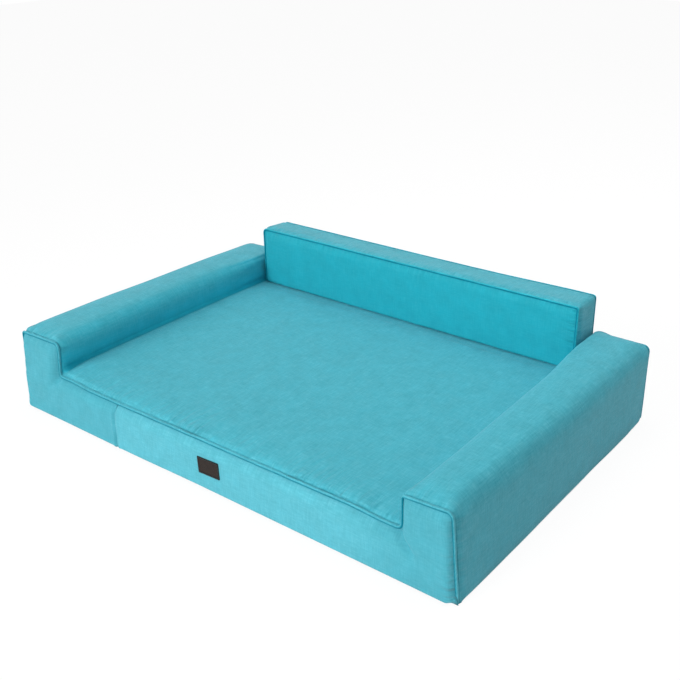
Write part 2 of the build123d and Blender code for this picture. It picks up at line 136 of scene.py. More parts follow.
class BedSizes(bpy.types.PropertyGroup):
    """Sizes that shape the covers without moving them."""

    voxel: bpy.props.FloatProperty(
        name="Cloth grid", description="Spacing of the cloth's points before its last subdivision",
        default=0.006, min=0.004, max=0.012, subtype="DISTANCE")
    swell: bpy.props.FloatProperty(
        name="Swell", description="Furthest that the cloth may swell out over the foam",
        default=0.0036, min=0.0, max=0.012, subtype="DISTANCE")
    backrest_swell: bpy.props.FloatProperty(
        name="Backrest swell", description="Furthest that the backrest's cloth may swell out",
        default=0.0026, min=0.0, max=0.008, subtype="DISTANCE")
    arm_crown: bpy.props.FloatProperty(
        name="Arm crown", description="Height of the dome along the top of each arm",
        default=0.003, min=0.0, max=0.012, subtype="DISTANCE")
    arm_rise: bpy.props.FloatProperty(
        name="Arm rise", description="How far the arms' tops rise behind their seams",
        default=0.0062, min=0.0, max=0.01, subtype="DISTANCE")
    crease: bpy.props.FloatProperty(
        name="Crease", description="Depth of the crease where an arm stands on the mattress",
        default=0.0055, min=0.0, max=0.01, subtype="DISTANCE")
    pressure: bpy.props.FloatProperty(
        name="Pressure", description="Pressure of the foam behind the cloth", default=4.0, min=0.0, max=12.0)
    fullness: bpy.props.FloatProperty(
        name="Fullness", description="Spare length of the cloth, which settles as soft waves",
        default=0.002, min=0.0, max=0.05, subtype="FACTOR")
    gather: bpy.props.FloatProperty(
        name="Gathers", description="Height of the small gathers along the corded seams",
        default=0.0014, min=0.0, max=0.003, subtype="DISTANCE")
    cord_radius: bpy.props.FloatProperty(
        name="Cord radius", description="Radius of the piping's cord", default=CORD_RADIUS,
        min=0.001, max=0.003, subtype="DISTANCE")
    stitch_pitch: bpy.props.FloatProperty(
        name="Stitch pitch", description="Length from one stitch to the next", default=0.0035,
        min=0.002, max=0.006, subtype="DISTANCE")
    coil_pitch: bpy.props.FloatProperty(
        name="Coil pitch", description="Length from one turn of a zip's coil to the next",
        default=0.0016, min=0.001, max=0.003, subtype="DISTANCE")


class BedColours(bpy.types.PropertyGroup):
    """Colours of the finishes."""

    cloth: bpy.props.FloatVectorProperty(
        name="Cloth", description="Main colour of the melange cover cloth", subtype="COLOR",
        size=3, min=0.0, max=1.0, default=(0.045, 0.385, 0.48))
    cloth_dark: bpy.props.FloatVectorProperty(
        name="Cloth, dark threads", description="Darker threads of the cover cloth", subtype="COLOR",
        size=3, min=0.0, max=1.0, default=(0.026, 0.325, 0.415))
    cloth_light: bpy.props.FloatVectorProperty(
        name="Cloth, light threads", description="Lighter threads of the cover cloth", subtype="COLOR",
        size=3, min=0.0, max=1.0, default=(0.095, 0.46, 0.55))
    # Painted shade and bounced light: a saturated teal for the arms' inner walls, which lie in shade and get
    # light bounced between the teal cloths
    cloth_shade_tint: bpy.props.FloatVectorProperty(
        name="Cloth, sheltered", description="Fresher cloth where the arms shelter it", subtype="COLOR",
        size=3, min=0.0, max=1.0, default=(0.0, 0.54, 0.72))
    underside: bpy.props.FloatVectorProperty(
        name="Underside", description="Colour of the underside cloth", subtype="COLOR",
        size=3, min=0.0, max=1.0, default=(0.018, 0.02, 0.023))
    label: bpy.props.FloatVectorProperty(
        name="Label", description="Colour of the leather label", subtype="COLOR",
        size=3, min=0.0, max=1.0, default=(0.014, 0.008, 0.006))
    label_rim: bpy.props.FloatVectorProperty(
        name="Label rim", description="Colour of the label's painted rim", subtype="COLOR",
        size=3, min=0.0, max=1.0, default=(0.006, 0.0075, 0.008))
    zip_tape: bpy.props.FloatVectorProperty(
        name="Zip tape", description="Colour of the zips' tapes, coils and stitches", subtype="COLOR",
        size=3, min=0.0, max=1.0, default=(0.02, 0.22, 0.29))
    zip_metal: bpy.props.FloatVectorProperty(
        name="Zip metal", description="Colour of the sliders, pulls and stops", subtype="COLOR",
        size=3, min=0.0, max=1.0, default=(0.55, 0.55, 0.56))
    strips: bpy.props.FloatVectorProperty(
        name="Hook and loop", description="Colour of the hook-and-loop strips", subtype="COLOR",
        size=3, min=0.0, max=1.0, default=(0.012, 0.012, 0.014))


# Outlines


def stepped_points(inset, floor, seat_left, seat_right, lift=0.0, side=None):
    """Corners of the body's stepped outline, drawn in by an inset, with its arms raised by a lift."""
    outer = HALF_WIDTH - (inset if side is None else side)
    inner = HALF_WIDTH - ARM_WIDTH + inset
    top = ARM_TOP - inset + lift
    return [
        (-outer, floor), (-outer, top), (-inner, top), (-inner, seat_left - inset),
        (inner, seat_right - inset), (inner, top), (outer, top), (outer, floor),
    ]


def stepped_radii(corners, inset):
    """Corner radii of the stepped outline drawn in by an inset, which opens its hollow corners."""
    return [
        radius + inset if corner in HOLLOW_CORNERS else max(radius - inset, 0.0015)
        for corner, radius in enumerate(corners)
    ]


def backrest_points(inset, floor):
    """Corners of the backrest's outline, drawn in by an inset."""
    outer = BACKREST_HALF - inset
    top = BACKREST_TOP - inset
    return [(-outer, floor), (-outer, top), (outer, top), (outer, floor)]


def backrest_radii(corners, inset):
    """Corner radii of the backrest's outline drawn in by an inset."""
    return [max(radius - inset, 0.0015) for radius in corners]


def rounded(points, radii, arc_steps=10, run_steps=12, closed=True):
    """Points along an outline with rounded corners, as many for any size of it."""
    points = np.array(points, float)
    count = len(points)
    inner = range(count) if closed else range(1, count - 1)
    arcs = {}
    for i in inner:
        before, corner, after = points[i - 1], points[i], points[(i + 1) % count]
        into = (corner - before) / np.linalg.norm(corner - before)
        out = (after - corner) / np.linalg.norm(after - corner)
        turn = atan2(into[0] * out[1] - into[1] * out[0], float(into @ out))
        radius = radii[i]
        tangent = radius * tan(abs(turn) / 2)
        side = 1 if turn > 0 else -1
        centre = corner - into * tangent + np.array([-into[1], into[0]]) * radius * side
        start = corner - into * tangent - centre
        steps = np.linspace(0, turn, arc_steps + 1)
        arcs[i] = [
            centre + np.array([start[0] * cos(a) - start[1] * sin(a), start[0] * sin(a) + start[1] * cos(a)])
            for a in steps
        ]
    line = []
    for i in range(count):
        part = arcs.get(i, [points[i]])
        line.extend(part)
        if closed or i < count - 1:
            follow = (i + 1) % count
            end = arcs.get(follow, [points[follow]])[0]
            start = part[-1]
            for k in range(1, run_steps):
                line.append(start + (end - start) * k / run_steps)
    return np.array(line)


def even_line(points, spacing, closed):
    """The same line with its points at an even spacing, and its length at each point."""
    points = np.asarray(points, float)
    if closed:
        points = np.vstack([points, points[:1]])
    lengths = np.concatenate([[0], np.cumsum(np.linalg.norm(np.diff(points, axis=0), axis=1))])
    count = max(8, int(round(lengths[-1] / spacing)))
    at = np.linspace(0, lengths[-1], count + 1)
    line = np.column_stack([np.interp(at, lengths, points[:, k]) for k in range(points.shape[1])])
    return (line[:-1], at[:-1]) if closed else (line, at)


def tangents(line):
    """The direction at each point of a closed line."""
    ahead = np.roll(line, -1, axis=0) - np.roll(line, 1, axis=0)
    return ahead / np.linalg.norm(ahead, axis=1, keepdims=True)


def rise(distance, length):
    """Share of its swell that cloth has at a distance from a seam."""
    share = min(distance / length, 1)
    return 1 - (1 - share) ** 2


def mix(start, end, share):
    """A value a share of the way from its start to its end."""
    return start + (end - start) * share


def smooth(values, low, high):
    """0 below low, 1 above high, and a smooth step between them."""
    t = np.clip((values - low) / (high - low), 0, 1)
    return t * t * (3 - 2 * t)


def soft_noise(a, b, seed):
    """Smooth noise from -1 to 1 over a plane, the same at every run."""
    lattice = np.random.RandomState(seed).uniform(-1, 1, (64, 64))
    ia, ib = np.floor(a).astype(int), np.floor(b).astype(int)
    fa, fb = a - ia, b - ib
    fa, fb = fa * fa * (3 - 2 * fa), fb * fb * (3 - 2 * fb)
    low = lattice[ia % 64, ib % 64] * (1 - fa) + lattice[(ia + 1) % 64, ib % 64] * fa
    high = lattice[ia % 64, (ib + 1) % 64] * (1 - fa) + lattice[(ia + 1) % 64, (ib + 1) % 64] * fa
    return low * (1 - fb) + high * fb


# Meshes


def add_mesh(name, points, faces):
    """A new object of a mesh in the row frame, linked to the scene."""
    mesh = bpy.data.meshes.new(name)
    mesh.from_pydata([tuple(p) for p in points], [], faces)
    mesh.update()
    piece = bpy.data.objects.new(name, mesh)
    bpy.context.scene.collection.objects.link(piece)
    return piece


def choose(piece):
    """Make one object the only selected one, and the active one."""
    if bpy.context.mode != "OBJECT":
        bpy.ops.object.mode_set(mode="OBJECT")
    bpy.ops.object.select_all(action="DESELECT")
    piece.select_set(True)
    bpy.context.view_layer.objects.active = piece


def apply_all(piece):
    """Apply every modifier of a piece, first to last."""
    choose(piece)
    for modifier in list(piece.modifiers):
        bpy.ops.object.modifier_apply(modifier=modifier.name)


def settle(piece):
    """Put a piece's place into its mesh, so that its object is at the origin, unturned."""
    choose(piece)
    bpy.ops.object.transform_apply(location=True, rotation=True, scale=True)


def places(piece):
    """A mesh's points as an array."""
    points = np.empty(len(piece.data.vertices) * 3)
    piece.data.vertices.foreach_get("co", points)
    return points.reshape(-1, 3)


def put(piece, points):
    """Move a mesh's points."""
    piece.data.vertices.foreach_set("co", np.asarray(points).ravel())
    piece.data.update()


def normals(piece):
    """The outward direction at each point of a mesh."""
    found = np.empty(len(piece.data.vertices) * 3)
    piece.data.vertices.foreach_get("normal", found)
    return found.reshape(-1, 3)


def loft(name, sections):
    """A closed solid through sections that have equally many points."""
    count = len(sections[0])
    points = np.vstack(sections)
    faces = []
    for s in range(len(sections) - 1):
        for i in range(count):
            k = (i + 1) % count
            faces.append((s * count + i, s * count + k, (s + 1) * count + k, (s + 1) * count + i))
    faces.append(tuple(range(count))[::-1])
    last = (len(sections) - 1) * count
    faces.append(tuple(range(last, last + count)))
    piece = add_mesh(name, points, faces)
    work = bmesh.new()
    work.from_mesh(piece.data)
    bmesh.ops.triangulate(work, faces=[f for f in work.faces if len(f.verts) > 4])
    bmesh.ops.recalc_face_normals(work, faces=work.faces)
    work.to_mesh(piece.data)
    work.free()
    return piece


def at_depth(outline, y):
    """A flat outline, drawn as seen from the front, at depth y."""
    return np.column_stack([outline[:, 0], np.full(len(outline), y), outline[:, 1]])


def remesh(piece, size):
    """Give a closed solid an even grid of faces."""
    modifier = piece.modifiers.new("Even grid", "REMESH")
    modifier.mode = "VOXEL"
    modifier.voxel_size = size
    modifier.use_smooth_shade = True
    apply_all(piece)


def puff(piece, held, cap, pressure, fullness):
    """Let the foam push the cloth out by at most cap where it isn't held.

    Cloth that sinks in over an edge is brought back out to near the height that the foam gives it.
    """
    start, out = places(piece), normals(piece)
    group = piece.vertex_groups.new(name="held")
    levels, frames = 20, 20
    level = np.round(held * levels).astype(int)
    for step in range(1, levels + 1):
        group.add([int(i) for i in np.nonzero(level == step)[0]], step / levels, "REPLACE")
    cloth = piece.modifiers.new("Cloth", "CLOTH")
    settings = cloth.settings
    settings.quality = 5
    settings.mass = 0.3
    settings.tension_stiffness = 20
    settings.compression_stiffness = 20
    settings.shear_stiffness = 8
    settings.bending_stiffness = 0.4
    settings.use_pressure = True
    settings.uniform_pressure_force = pressure
    settings.shrink_min = -fullness
    settings.effector_weights.gravity = 0
    settings.vertex_group_mass = "held"
    cloth.collision_settings.use_collision = False
    cloth.collision_settings.use_self_collision = False
    cloth.point_cache.frame_start = 1
    cloth.point_cache.frame_end = frames
    scene = bpy.context.scene
    for number in range(1, frames + 1):
        scene.frame_set(number)
    choose(piece)
    bpy.ops.object.modifier_apply(modifier=cloth.name)
    scene.frame_set(1)
    moved = places(piece) - start
    far = np.linalg.norm(moved, axis=1, keepdims=True)
    moved *= cap * np.tanh(far / cap) / np.maximum(far, 1e-9)
    sunk = np.maximum(PLAIN_SWELL * cap - np.sum(moved * out, axis=1), 0)
    put(piece, start + (moved + 0.85 * out * sunk[:, None]) * (1 - held[:, None]))
    piece.vertex_groups.clear()


def subdivide(piece):
    """One level of subdivision, applied."""
    modifier = piece.modifiers.new("Smooth", "SUBSURF")
    modifier.levels = modifier.render_levels = 1
    apply_all(piece)


def cut_part(piece, name, planes):
    """A closed copy of a solid, cut by planes given as (point, normal that points at what is cut off)."""
    work = bmesh.new()
    work.from_mesh(piece.data)
    for point, normal in planes:
        everything = work.verts[:] + work.edges[:] + work.faces[:]
        found = bmesh.ops.bisect_plane(
            work, geom=everything, plane_co=point, plane_no=normal, clear_outer=True, dist=1e-6)
        rim = [e for e in found["geom_cut"] if isinstance(e, bmesh.types.BMEdge)]
        filled = bmesh.ops.contextual_create(work, geom=rim)["faces"]
        if not filled:
            filled = bmesh.ops.edgeloop_fill(work, edges=rim)["faces"]
        bmesh.ops.triangulate(work, faces=filled)
    bmesh.ops.recalc_face_normals(work, faces=work.faces)
    mesh = bpy.data.meshes.new(name)
    work.to_mesh(mesh)
    work.free()
    part = bpy.data.objects.new(name, mesh)
    bpy.context.scene.collection.objects.link(part)
    for polygon in mesh.polygons:
        polygon.use_smooth = True
    return part


def set_uv(piece, values):
    """Give each point of a mesh its place on the cloth, in metres."""
    layer = piece.data.uv_layers.get("Weave") or piece.data.uv_layers.new(name="Weave")
    corners = np.empty(len(piece.data.loops), np.int32)
    piece.data.loops.foreach_get("vertex_index", corners)
    layer.data.foreach_set("uv", np.asarray(values)[corners].ravel())


def mark(piece, name, values):
    """Give each point of a mesh a number that its finish reads."""
    layer = piece.data.attributes.get(name) or piece.data.attributes.new(name, "FLOAT", "POINT")
    layer.data.foreach_set("value", np.asarray(values, np.float32))


def add_painted_shade(piece, values):
    """Mark painted shade on places, on top of what is already marked there."""
    earlier = piece.data.attributes.get("PaintedShade")
    if earlier:
        before = np.empty(len(values), np.float32)
        earlier.data.foreach_get("value", before)
        values = np.maximum(values, before)
    mark(piece, "PaintedShade", values)


def tube(name, line, radius, inward, closed, sides=CORD_SIDES):
    """A round cord along a line that lies upright at one depth, with the way into the body at each point."""
    line = np.asarray(line, float)
    count = len(line)
    points = []
    for i in range(count):
        for k in range(sides):
            angle = 2 * pi * k / sides
            points.append(line[i] + radius[i] * (cos(angle) * inward[i] + sin(angle) * np.array([0, 1, 0])))
    faces = []
    for i in range(count if closed else count - 1):
        j = (i + 1) % count
        for k in range(sides):
            m = (k + 1) % sides
            faces.append((i * sides + k, i * sides + m, j * sides + m, j * sides + k))
    if not closed:
        faces.append(tuple(range(sides))[::-1])
        faces.append(tuple(range((count - 1) * sides, count * sides)))
    return add_mesh(name, points, faces)


def outward_normals(piece):
    """Make every face of a closed mesh point outwards."""
    work = bmesh.new()
    work.from_mesh(piece.data)
    bmesh.ops.recalc_face_normals(work, faces=work.faces)
    work.to_mesh(piece.data)
    work.free()


def smooth_closed(piece):
    """Turn the faces of a closed mesh outwards and shade them smoothly."""
    outward_normals(piece)
    choose(piece)
    bpy.ops.object.shade_smooth()


def primitive(name, add, location=(0, 0, 0), **settings):
    """A new object from one of Blender's own shapes, with nothing else selected."""
    bpy.ops.object.select_all(action="DESELECT")
    add(location=location, **settings)
    piece = bpy.context.object
    piece.name = piece.data.name = name
    return piece


def join(name, pieces):
    """Join pieces into one."""
    choose(pieces[0])
    for piece in pieces:
        piece.select_set(True)
    bpy.ops.object.join()
    pieces[0].name = name
    pieces[0].data.name = name
    return pieces[0]


def finish_piece(piece, body, slot, material, *nodes):
    """Material, body and the nodes that a piece stands for; the slot is not used."""
    piece.data.materials.clear()
    piece.data.materials.append(material)
    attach(piece, body)
    if nodes:
        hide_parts(*nodes)
    return piece


# Finishes


class Nodes:
    """Short way to lay out the nodes of one material."""

    def __init__(self, name):
        self.material = bpy.data.materials.new(name)
        self.material.use_nodes = True
        self.tree = self.material.node_tree
        self.tree.nodes.clear()
        self.out = self.tree.nodes.new("ShaderNodeOutputMaterial")
        self.shader = self.tree.nodes.new("ShaderNodeBsdfPrincipled")
        self.tree.links.new(self.shader.outputs["BSDF"], self.out.inputs["Surface"])

    def add(self, kind, inputs=None, **settings):
        """A node with its settings and its inputs, which are values or sockets."""
        node = self.tree.nodes.new("ShaderNode" + kind)
        for name, value in settings.items():
            setattr(node, name, value)
        for name, value in (inputs or {}).items():
            self.feed(node.inputs[name], value)
        return node

    def feed(self, socket, value):
        """Set a socket, or link another one to it."""
        if isinstance(value, bpy.types.NodeSocket):
            self.tree.links.new(value, socket)
        else:
            socket.default_value = value

    def math(self, operation, a, b=0.0, clamp=False):
        """One sum of two numbers or sockets."""
        node = self.add("Math", operation=operation, use_clamp=clamp)
        self.feed(node.inputs[0], a)
        self.feed(node.inputs[1], b)
        return node.outputs[0]

    def blend(self, factor, a, b, kind="MIX"):
        """A colour between two."""
        node = self.add("Mix", data_type="RGBA", blend_type=kind)
        self.feed(node.inputs[0], factor)
        self.feed(node.inputs[6], a)
        self.feed(node.inputs[7], b)
        return node.outputs[2]

    def bump(self, height, strength, distance, under=None):
        """Relief on the surface, over an earlier relief."""
        node = self.add("Bump", {"Height": height, "Strength": strength, "Distance": distance})
        if under:
            self.tree.links.new(under.outputs["Normal"], node.inputs["Normal"])
        self.tree.links.new(node.outputs["Normal"], self.shader.inputs["Normal"])
        return node

    def number(self, name):
        """A number that the mesh gives each of its points."""
        return self.add("Attribute", attribute_name=name, attribute_type="GEOMETRY").outputs["Fac"]

    def ranged(self, value, start=(0.0, 1.0), end=(0.0, 1.0)):
        """A value whose range goes from start to end."""
        limits = {"From Min": start[0], "From Max": start[1], "To Min": end[0], "To Max": end[1]}
        return self.add("MapRange", {"Value": value, **limits}).outputs[0]

    def toned(self, base, pattern, seen=(0.0, 1.0), tones=(0.0, 1.0)):
        """A colour made darker or lighter by a pattern, by the tones at the ends of its range."""
        tone = self.ranged(pattern, seen, tones)
        grey = self.add("CombineColor", {"Red": tone, "Green": tone, "Blue": tone})
        return self.blend(1.0, base, grey.outputs[0], "MULTIPLY")

    def object_grid(self, scale=1.0):
        """Places on the object, in metres or in the unit that a scale gives."""
        place = self.add("TexCoord").outputs["Object"]
        return self.add("Mapping", {"Vector": place, "Scale": (scale, scale, scale)}).outputs[0]

    def waves(self, grid, scale, distortion, direction, **inputs):
        """Ribs across one direction of a grid."""
        settings = {"Vector": grid, "Scale": scale, "Distortion": distortion, **inputs}
        return self.add("TexWave", settings, bands_direction=direction).outputs["Fac"]

    def surface(self, **values):
        """Values on the shader's own sockets."""
        for name, value in values.items():
            self.feed(self.shader.inputs[name.replace("_", " ")], value)


def colour(value):
    """A colour property as the four numbers of a socket."""
    return (value[0], value[1], value[2], 1.0)


# Thin and thick slubs of the threads both ways: how they stretch on the cloth's grid, and their weight
SLUBS = (((1.0, 0.08), 0.2), ((0.1, 1.0), 0.2), ((0.42, 0.03), 0.3), ((0.045, 0.42), 0.3))
# Painted shade: what is left of the cloth's colour where shade is painted, deepest at the bottom of a groove
PAINTED_SHADE_COLOUR = (0.12, 0.52, 0.58, 1.0)
# Puckers run away from a seam that the cloth's grid follows across (U) or along (V)
PUCKERS = (("PuckerU", (0.1, 0.014, 1.0)), ("PuckerV", (0.014, 0.11, 1.0)))


def melange(name, turn=0.0, tint=None, share=0.0, shade_tint=None):
    """Melange upholstery cloth: slubby threads both ways on the cloth's own grid, with a tint over it that
    paints light on the cloth, and painted shade where the mesh marks it.
    """
    colours = bpy.context.scene.bed_colours
    shade_tint = (*shade_tint, 1.0) if shade_tint else colour(colours.cloth_shade_tint)
    n = Nodes(name)
    place = n.add("UVMap", uv_map="Weave").outputs["UV"]
    grid = n.add("Mapping", {"Vector": place, "Rotation": (0.0, 0.0, turn), "Scale": (1000.0, 1000.0, 1.0)})
    threads = None
    for scale, weight in SLUBS:
        run = n.add("Mapping", {"Vector": grid.outputs[0], "Scale": (*scale, 1.0)})
        slub = n.add("TexNoise", {"Vector": run.outputs[0], "Scale": 1.0, "Detail": 3.0, "Roughness": 0.65})
        part = n.math("MULTIPLY", slub.outputs["Fac"], weight)
        threads = part if threads is None else n.math("ADD", threads, part)
    base = n.blend(n.ranged(threads, (0.4, 0.5)), colour(colours.cloth_dark), colour(colours.cloth))
    base = n.blend(n.ranged(threads, (0.5, 0.62)), base, colour(colours.cloth_light))
    # The tint is painted light: whitish painted reflection on the covers, and darker teal for the backrest's
    # shade and bounced light
    if tint:
        base = n.blend(share, base, (*tint, 1.0))
    blotch = n.add("TexNoise", {"Vector": grid.outputs[0], "Scale": 0.03, "Detail": 3.0, "Roughness": 0.55})
    # Painted shade and bounced light: the cloth goes towards the shade tint where the mesh marks it
    base = n.blend(n.math("MULTIPLY", n.number("ShadeTint"), 0.62), base, shade_tint)
    base = n.toned(base, blotch.outputs["Fac"], (0.3, 0.7), (0.94, 1.06))
    # Painted shade: darker cloth with less shine where the mesh marks grooves, creases and shaded sides
    base = n.blend(n.number("PaintedShade"), base, n.blend(1.0, base, PAINTED_SHADE_COLOUR, "MULTIPLY"))
    shine = n.math("SUBTRACT", 0.3, n.math("MULTIPLY", n.number("PaintedShade"), 0.3))
    n.surface(Base_Color=base, Roughness=0.62, Specular_IOR_Level=shine)
    n.surface(Sheen_Weight=0.08, Sheen_Roughness=0.4)
    ribs, rows = (n.waves(grid.outputs[0], 0.31, 0.6, axis, Detail=1.0) for axis in "XY")
    woven = n.math("ADD", n.math("MAXIMUM", ribs, rows), n.math("MULTIPLY", threads, 3.0))
    puckers = None
    for marked, scale in PUCKERS:
        slant = n.add("Mapping", {"Vector": grid.outputs[0], "Rotation": (0.0, 0.0, 0.2)})
        run = n.add("Mapping", {"Vector": slant.outputs[0], "Scale": scale, "Location": (3.3, 5.1, 0.0)})
        wave = n.add("TexNoise", {
            "Vector": run.outputs[0], "Scale": 1.0, "Detail": 1.5, "Roughness": 0.45, "Distortion": 0.25})
        part = n.math("MULTIPLY", wave.outputs["Fac"], n.number(marked))
        puckers = part if puckers is None else n.math("ADD", puckers, part)
    n.bump(woven, 0.4, 0.0004, n.bump(puckers, 1.0, 0.012))
    return n.material


# Tint of cloth that light has paled
# Painted reflection: a whitish tint that stands for the white floor and surroundings mirrored in the cloth's
# sheen
PAINTED_REFLECTION = (0.45, 0.78, 0.84)


def get_material(name, make):
    """A material by name, made the first time that it is asked for."""
    return bpy.data.materials.get(name) or make(name)


def cover_material():
    """Cloth of the covers, with a little painted reflection."""
    return get_material("Cover melange", lambda name: melange(name, tint=PAINTED_REFLECTION, share=0.035))


def front_material():
    """Cloth of the front panels, with more painted reflection of the white floor than the other covers, and a
    dark painted shade tint.
    """
    look = {"tint": PAINTED_REFLECTION, "share": 0.1, "shade_tint": (0.0, 0.22, 0.29)}
    return get_material("Cover melange, front", lambda name: melange(name, **look))


def backrest_material():
    """Cloth of the backrest, tinted darker and more saturated: painted shade and painted light bounced from
    the teal mattress.
    """
    look = {"tint": (0.0, 0.355, 0.44), "share": 0.68}
    return get_material("Cover melange, backrest", lambda name: melange(name, **look))


def piping_material():
    """Cloth of the body's piping, cut on the bias, with a pale tint that is a painted highlight."""
    look = {"turn": BIAS, "tint": (0.45, 0.8, 0.86), "share": 0.06}
    return get_material("Piping melange", lambda name: melange(name, **look))


def backrest_piping_material():
    """Cloth of the backrest's piping, cut on the bias, with the backrest's painted shade and bounced light in
    its tint.
    """
    look = {"turn": BIAS, "tint": (0.0, 0.42, 0.52), "share": 0.5}
    return get_material("Piping melange, backrest", lambda name: melange(name, **look))


def underside_material():
    """Dense coated cloth of the underside."""

    def make(name):
        n = Nodes(name)
        base = bpy.context.scene.bed_colours.underside
        ribs, rows = (n.waves(n.object_grid(1000.0), 0.25, 0.4, axis) for axis in "XY")
        soil = n.add("TexNoise", {"Vector": n.object_grid(), "Scale": 9.0, "Detail": 4.0}).outputs["Fac"]
        n.surface(Base_Color=n.toned(colour(base), soil, (0.3, 0.7), (0.8, 1.3)), Roughness=0.7)
        n.bump(n.math("MULTIPLY", ribs, rows), 0.4, 0.0003)
        return n.material

    return get_material("Underside cloth", make)


def leather_material(name, base, rough):
    """Leather-like sheet with a fine grain."""
    n = Nodes(name)
    place = n.object_grid()
    cells = n.add("TexVoronoi", {"Vector": place, "Scale": 1400.0}, feature="DISTANCE_TO_EDGE")
    pores = n.add("TexNoise", {"Vector": place, "Scale": 260.0, "Detail": 5.0, "Roughness": 0.6})
    tint = n.toned(colour(base), pores.outputs["Fac"], (0.3, 0.7), (0.7, 1.5))
    n.surface(Base_Color=tint, Roughness=rough, Specular_IOR_Level=0.2)
    grain = n.math("MULTIPLY", cells.outputs["Distance"], 2.0)
    n.bump(n.math("ADD", grain, n.math("MULTIPLY", pores.outputs["Fac"], 0.5)), 0.35, 0.0002)
    return n.material


def thread_material(name, base):
    """Twisted sewing thread."""
    n = Nodes(name)
    twist = n.waves(n.object_grid(), 520.0, 1.0, "DIAGONAL")
    n.surface(Base_Color=n.toned(colour(base), twist, tones=(0.75, 1.2)), Roughness=0.6, Sheen_Weight=0.3)
    n.bump(twist, 0.4, 0.0002)
    return n.material


def tape_material(name, base):
    """Woven tape with a herringbone."""
    n = Nodes(name)
    split = n.add("SeparateXYZ", {"Vector": n.object_grid(1000.0)})
    zigzag = n.math("PINGPONG", split.outputs["Z"], 2.0)
    ribs = n.math("SINE", n.math("MULTIPLY", n.math("ADD", split.outputs["X"], zigzag), 5.2))
    fluff = n.add("TexNoise", {"Vector": n.object_grid(), "Scale": 900.0, "Detail": 3.0}).outputs["Fac"]
    tint = n.toned(colour(base), n.math("ADD", ribs, fluff), (-1.0, 2.0), (0.75, 1.25))
    n.surface(Base_Color=tint, Roughness=0.8, Sheen_Weight=0.25)
    n.bump(ribs, 0.4, 0.0002)
    return n.material


def nylon_material(name, base):
    """Nylon of the zips' coils."""
    n = Nodes(name)
    haze = n.add("TexNoise", {"Vector": n.object_grid(), "Scale": 700.0, "Detail": 2.0}).outputs["Fac"]
    n.surface(Base_Color=n.toned(colour(base), haze, tones=(0.8, 1.15)), Roughness=0.38)
    n.bump(haze, 0.1, 0.0001)
    return n.material


def metal_material(name, base):
    """Plated zip metal, with brushing and worn edges."""
    n = Nodes(name)
    place = n.object_grid()
    lines = n.add("Mapping", {"Vector": place, "Scale": (400.0, 400.0, 6000.0)})
    brushed = n.add("TexNoise", {"Vector": lines.outputs[0], "Scale": 1.0, "Detail": 2.0}).outputs["Fac"]
    rough = n.ranged(brushed, end=(0.22, 0.45))
    worn = n.add("TexNoise", {"Vector": place, "Scale": 500.0, "Detail": 4.0}).outputs["Fac"]
    tint = n.toned(colour(base), worn, (0.35, 0.65), (0.82, 1.05))
    n.surface(Base_Color=tint, Metallic=1.0, Roughness=rough)
    n.bump(brushed, 0.08, 0.0001)
    return n.material


def fuzz_material(name, base):
    """Nylon hooks or loops."""
    n = Nodes(name)
    pile = n.add("TexVoronoi", {"Vector": n.object_grid(), "Scale": 900.0}).outputs["Distance"]
    tint = n.toned(colour(base), pile, (0.0, 0.8), (1.8, 0.5))
    n.surface(Base_Color=tint, Roughness=0.6, Sheen_Weight=0.4)
    n.bump(pile, 0.6, 0.0004)
    return n.material


# The body's covers


def wrap_section(seam, inward, distance, roll, tuck, corners, seats):
    """Section of the body at a distance behind one of its seams, before it swells."""
    drawn_in = tuck * (1 - rise(distance, TUCK_ROLL))
    share = rise(distance, roll)
    blended = [mix(a, b, share) for a, b in zip(corners, MIDDLE_CORNERS)]
    left, right = [mix(seat, SEAT - 0.001, share) for seat in seats]
    arm_rise = bpy.context.scene.bed_sizes.arm_rise
    points = stepped_points(drawn_in, UNDERSIDE_CLOTH, left, right, lift=arm_rise * share)
    line = rounded(points, stepped_radii(blended, drawn_in))
    return at_depth(line, seam + inward * distance)


def panel_section(seam, outward, bulge, share, tuck, corners, seats):
    """Section of a stepped panel that bulges out of its seam, at a share of the way to its flat middle."""
    inset = tuck + 0.02 * share
    side = tuck + 0.009 * share
    points = stepped_points(inset, 0.0006, *seats, side=side)
    line = rounded(points, stepped_radii(corners, side))
    return at_depth(line, seam + outward * bulge * (1 - (1 - share) ** 2))


def body_solid():
    """The whole body as one closed solid, a little smaller than the cloth over it will be."""
    front = (FRONT_TUCK, FRONT_CORNERS, (SEAT_LEFT, SEAT_RIGHT))
    back = (BACK_TUCK, BACK_CORNERS, (SEAT_BACK, SEAT_BACK))
    front_bulge, back_bulge = 0.0115, 0.0105
    front_roll, back_roll, back_reach = 0.06, 0.036, 0.04
    steps = (*NEAR_SEAM, 0.03, back_reach, 0.052, 0.066, 0.084)
    sections = [panel_section(FRONT_SEAM, -1, front_bulge, a, *front) for a in PANEL_SHARES]
    sections += [wrap_section(FRONT_SEAM, 1, d, front_roll, *front) for d in steps]
    sections += [wrap_section(BACK_SEAM, -1, d, back_roll, *back) for d in reversed(steps) if d <= back_reach]
    sections += [panel_section(BACK_SEAM, 1, back_bulge, a, *back) for a in reversed(PANEL_SHARES)]
    return loft("body_cover", sections)


def seam_hold(points, seams):
    """How firmly the seams hold each point of the cloth: 1 in the seam, 0 from 12 mm away."""
    nearest = np.min([np.abs(points[:, 1] - seam) for seam in seams], axis=0)
    return 1 - smooth(nearest, 0.003, 0.012)


def ease(points, axis, target, weight):
    """Draw points to a level along one axis."""
    points[:, axis] = points[:, axis] * (1 - weight) + target * weight


def window(values, low, high, soft):
    """1 between two limits, with soft edges outside them."""
    return smooth(values, low - soft, low) * (1 - smooth(values, high, high + soft))


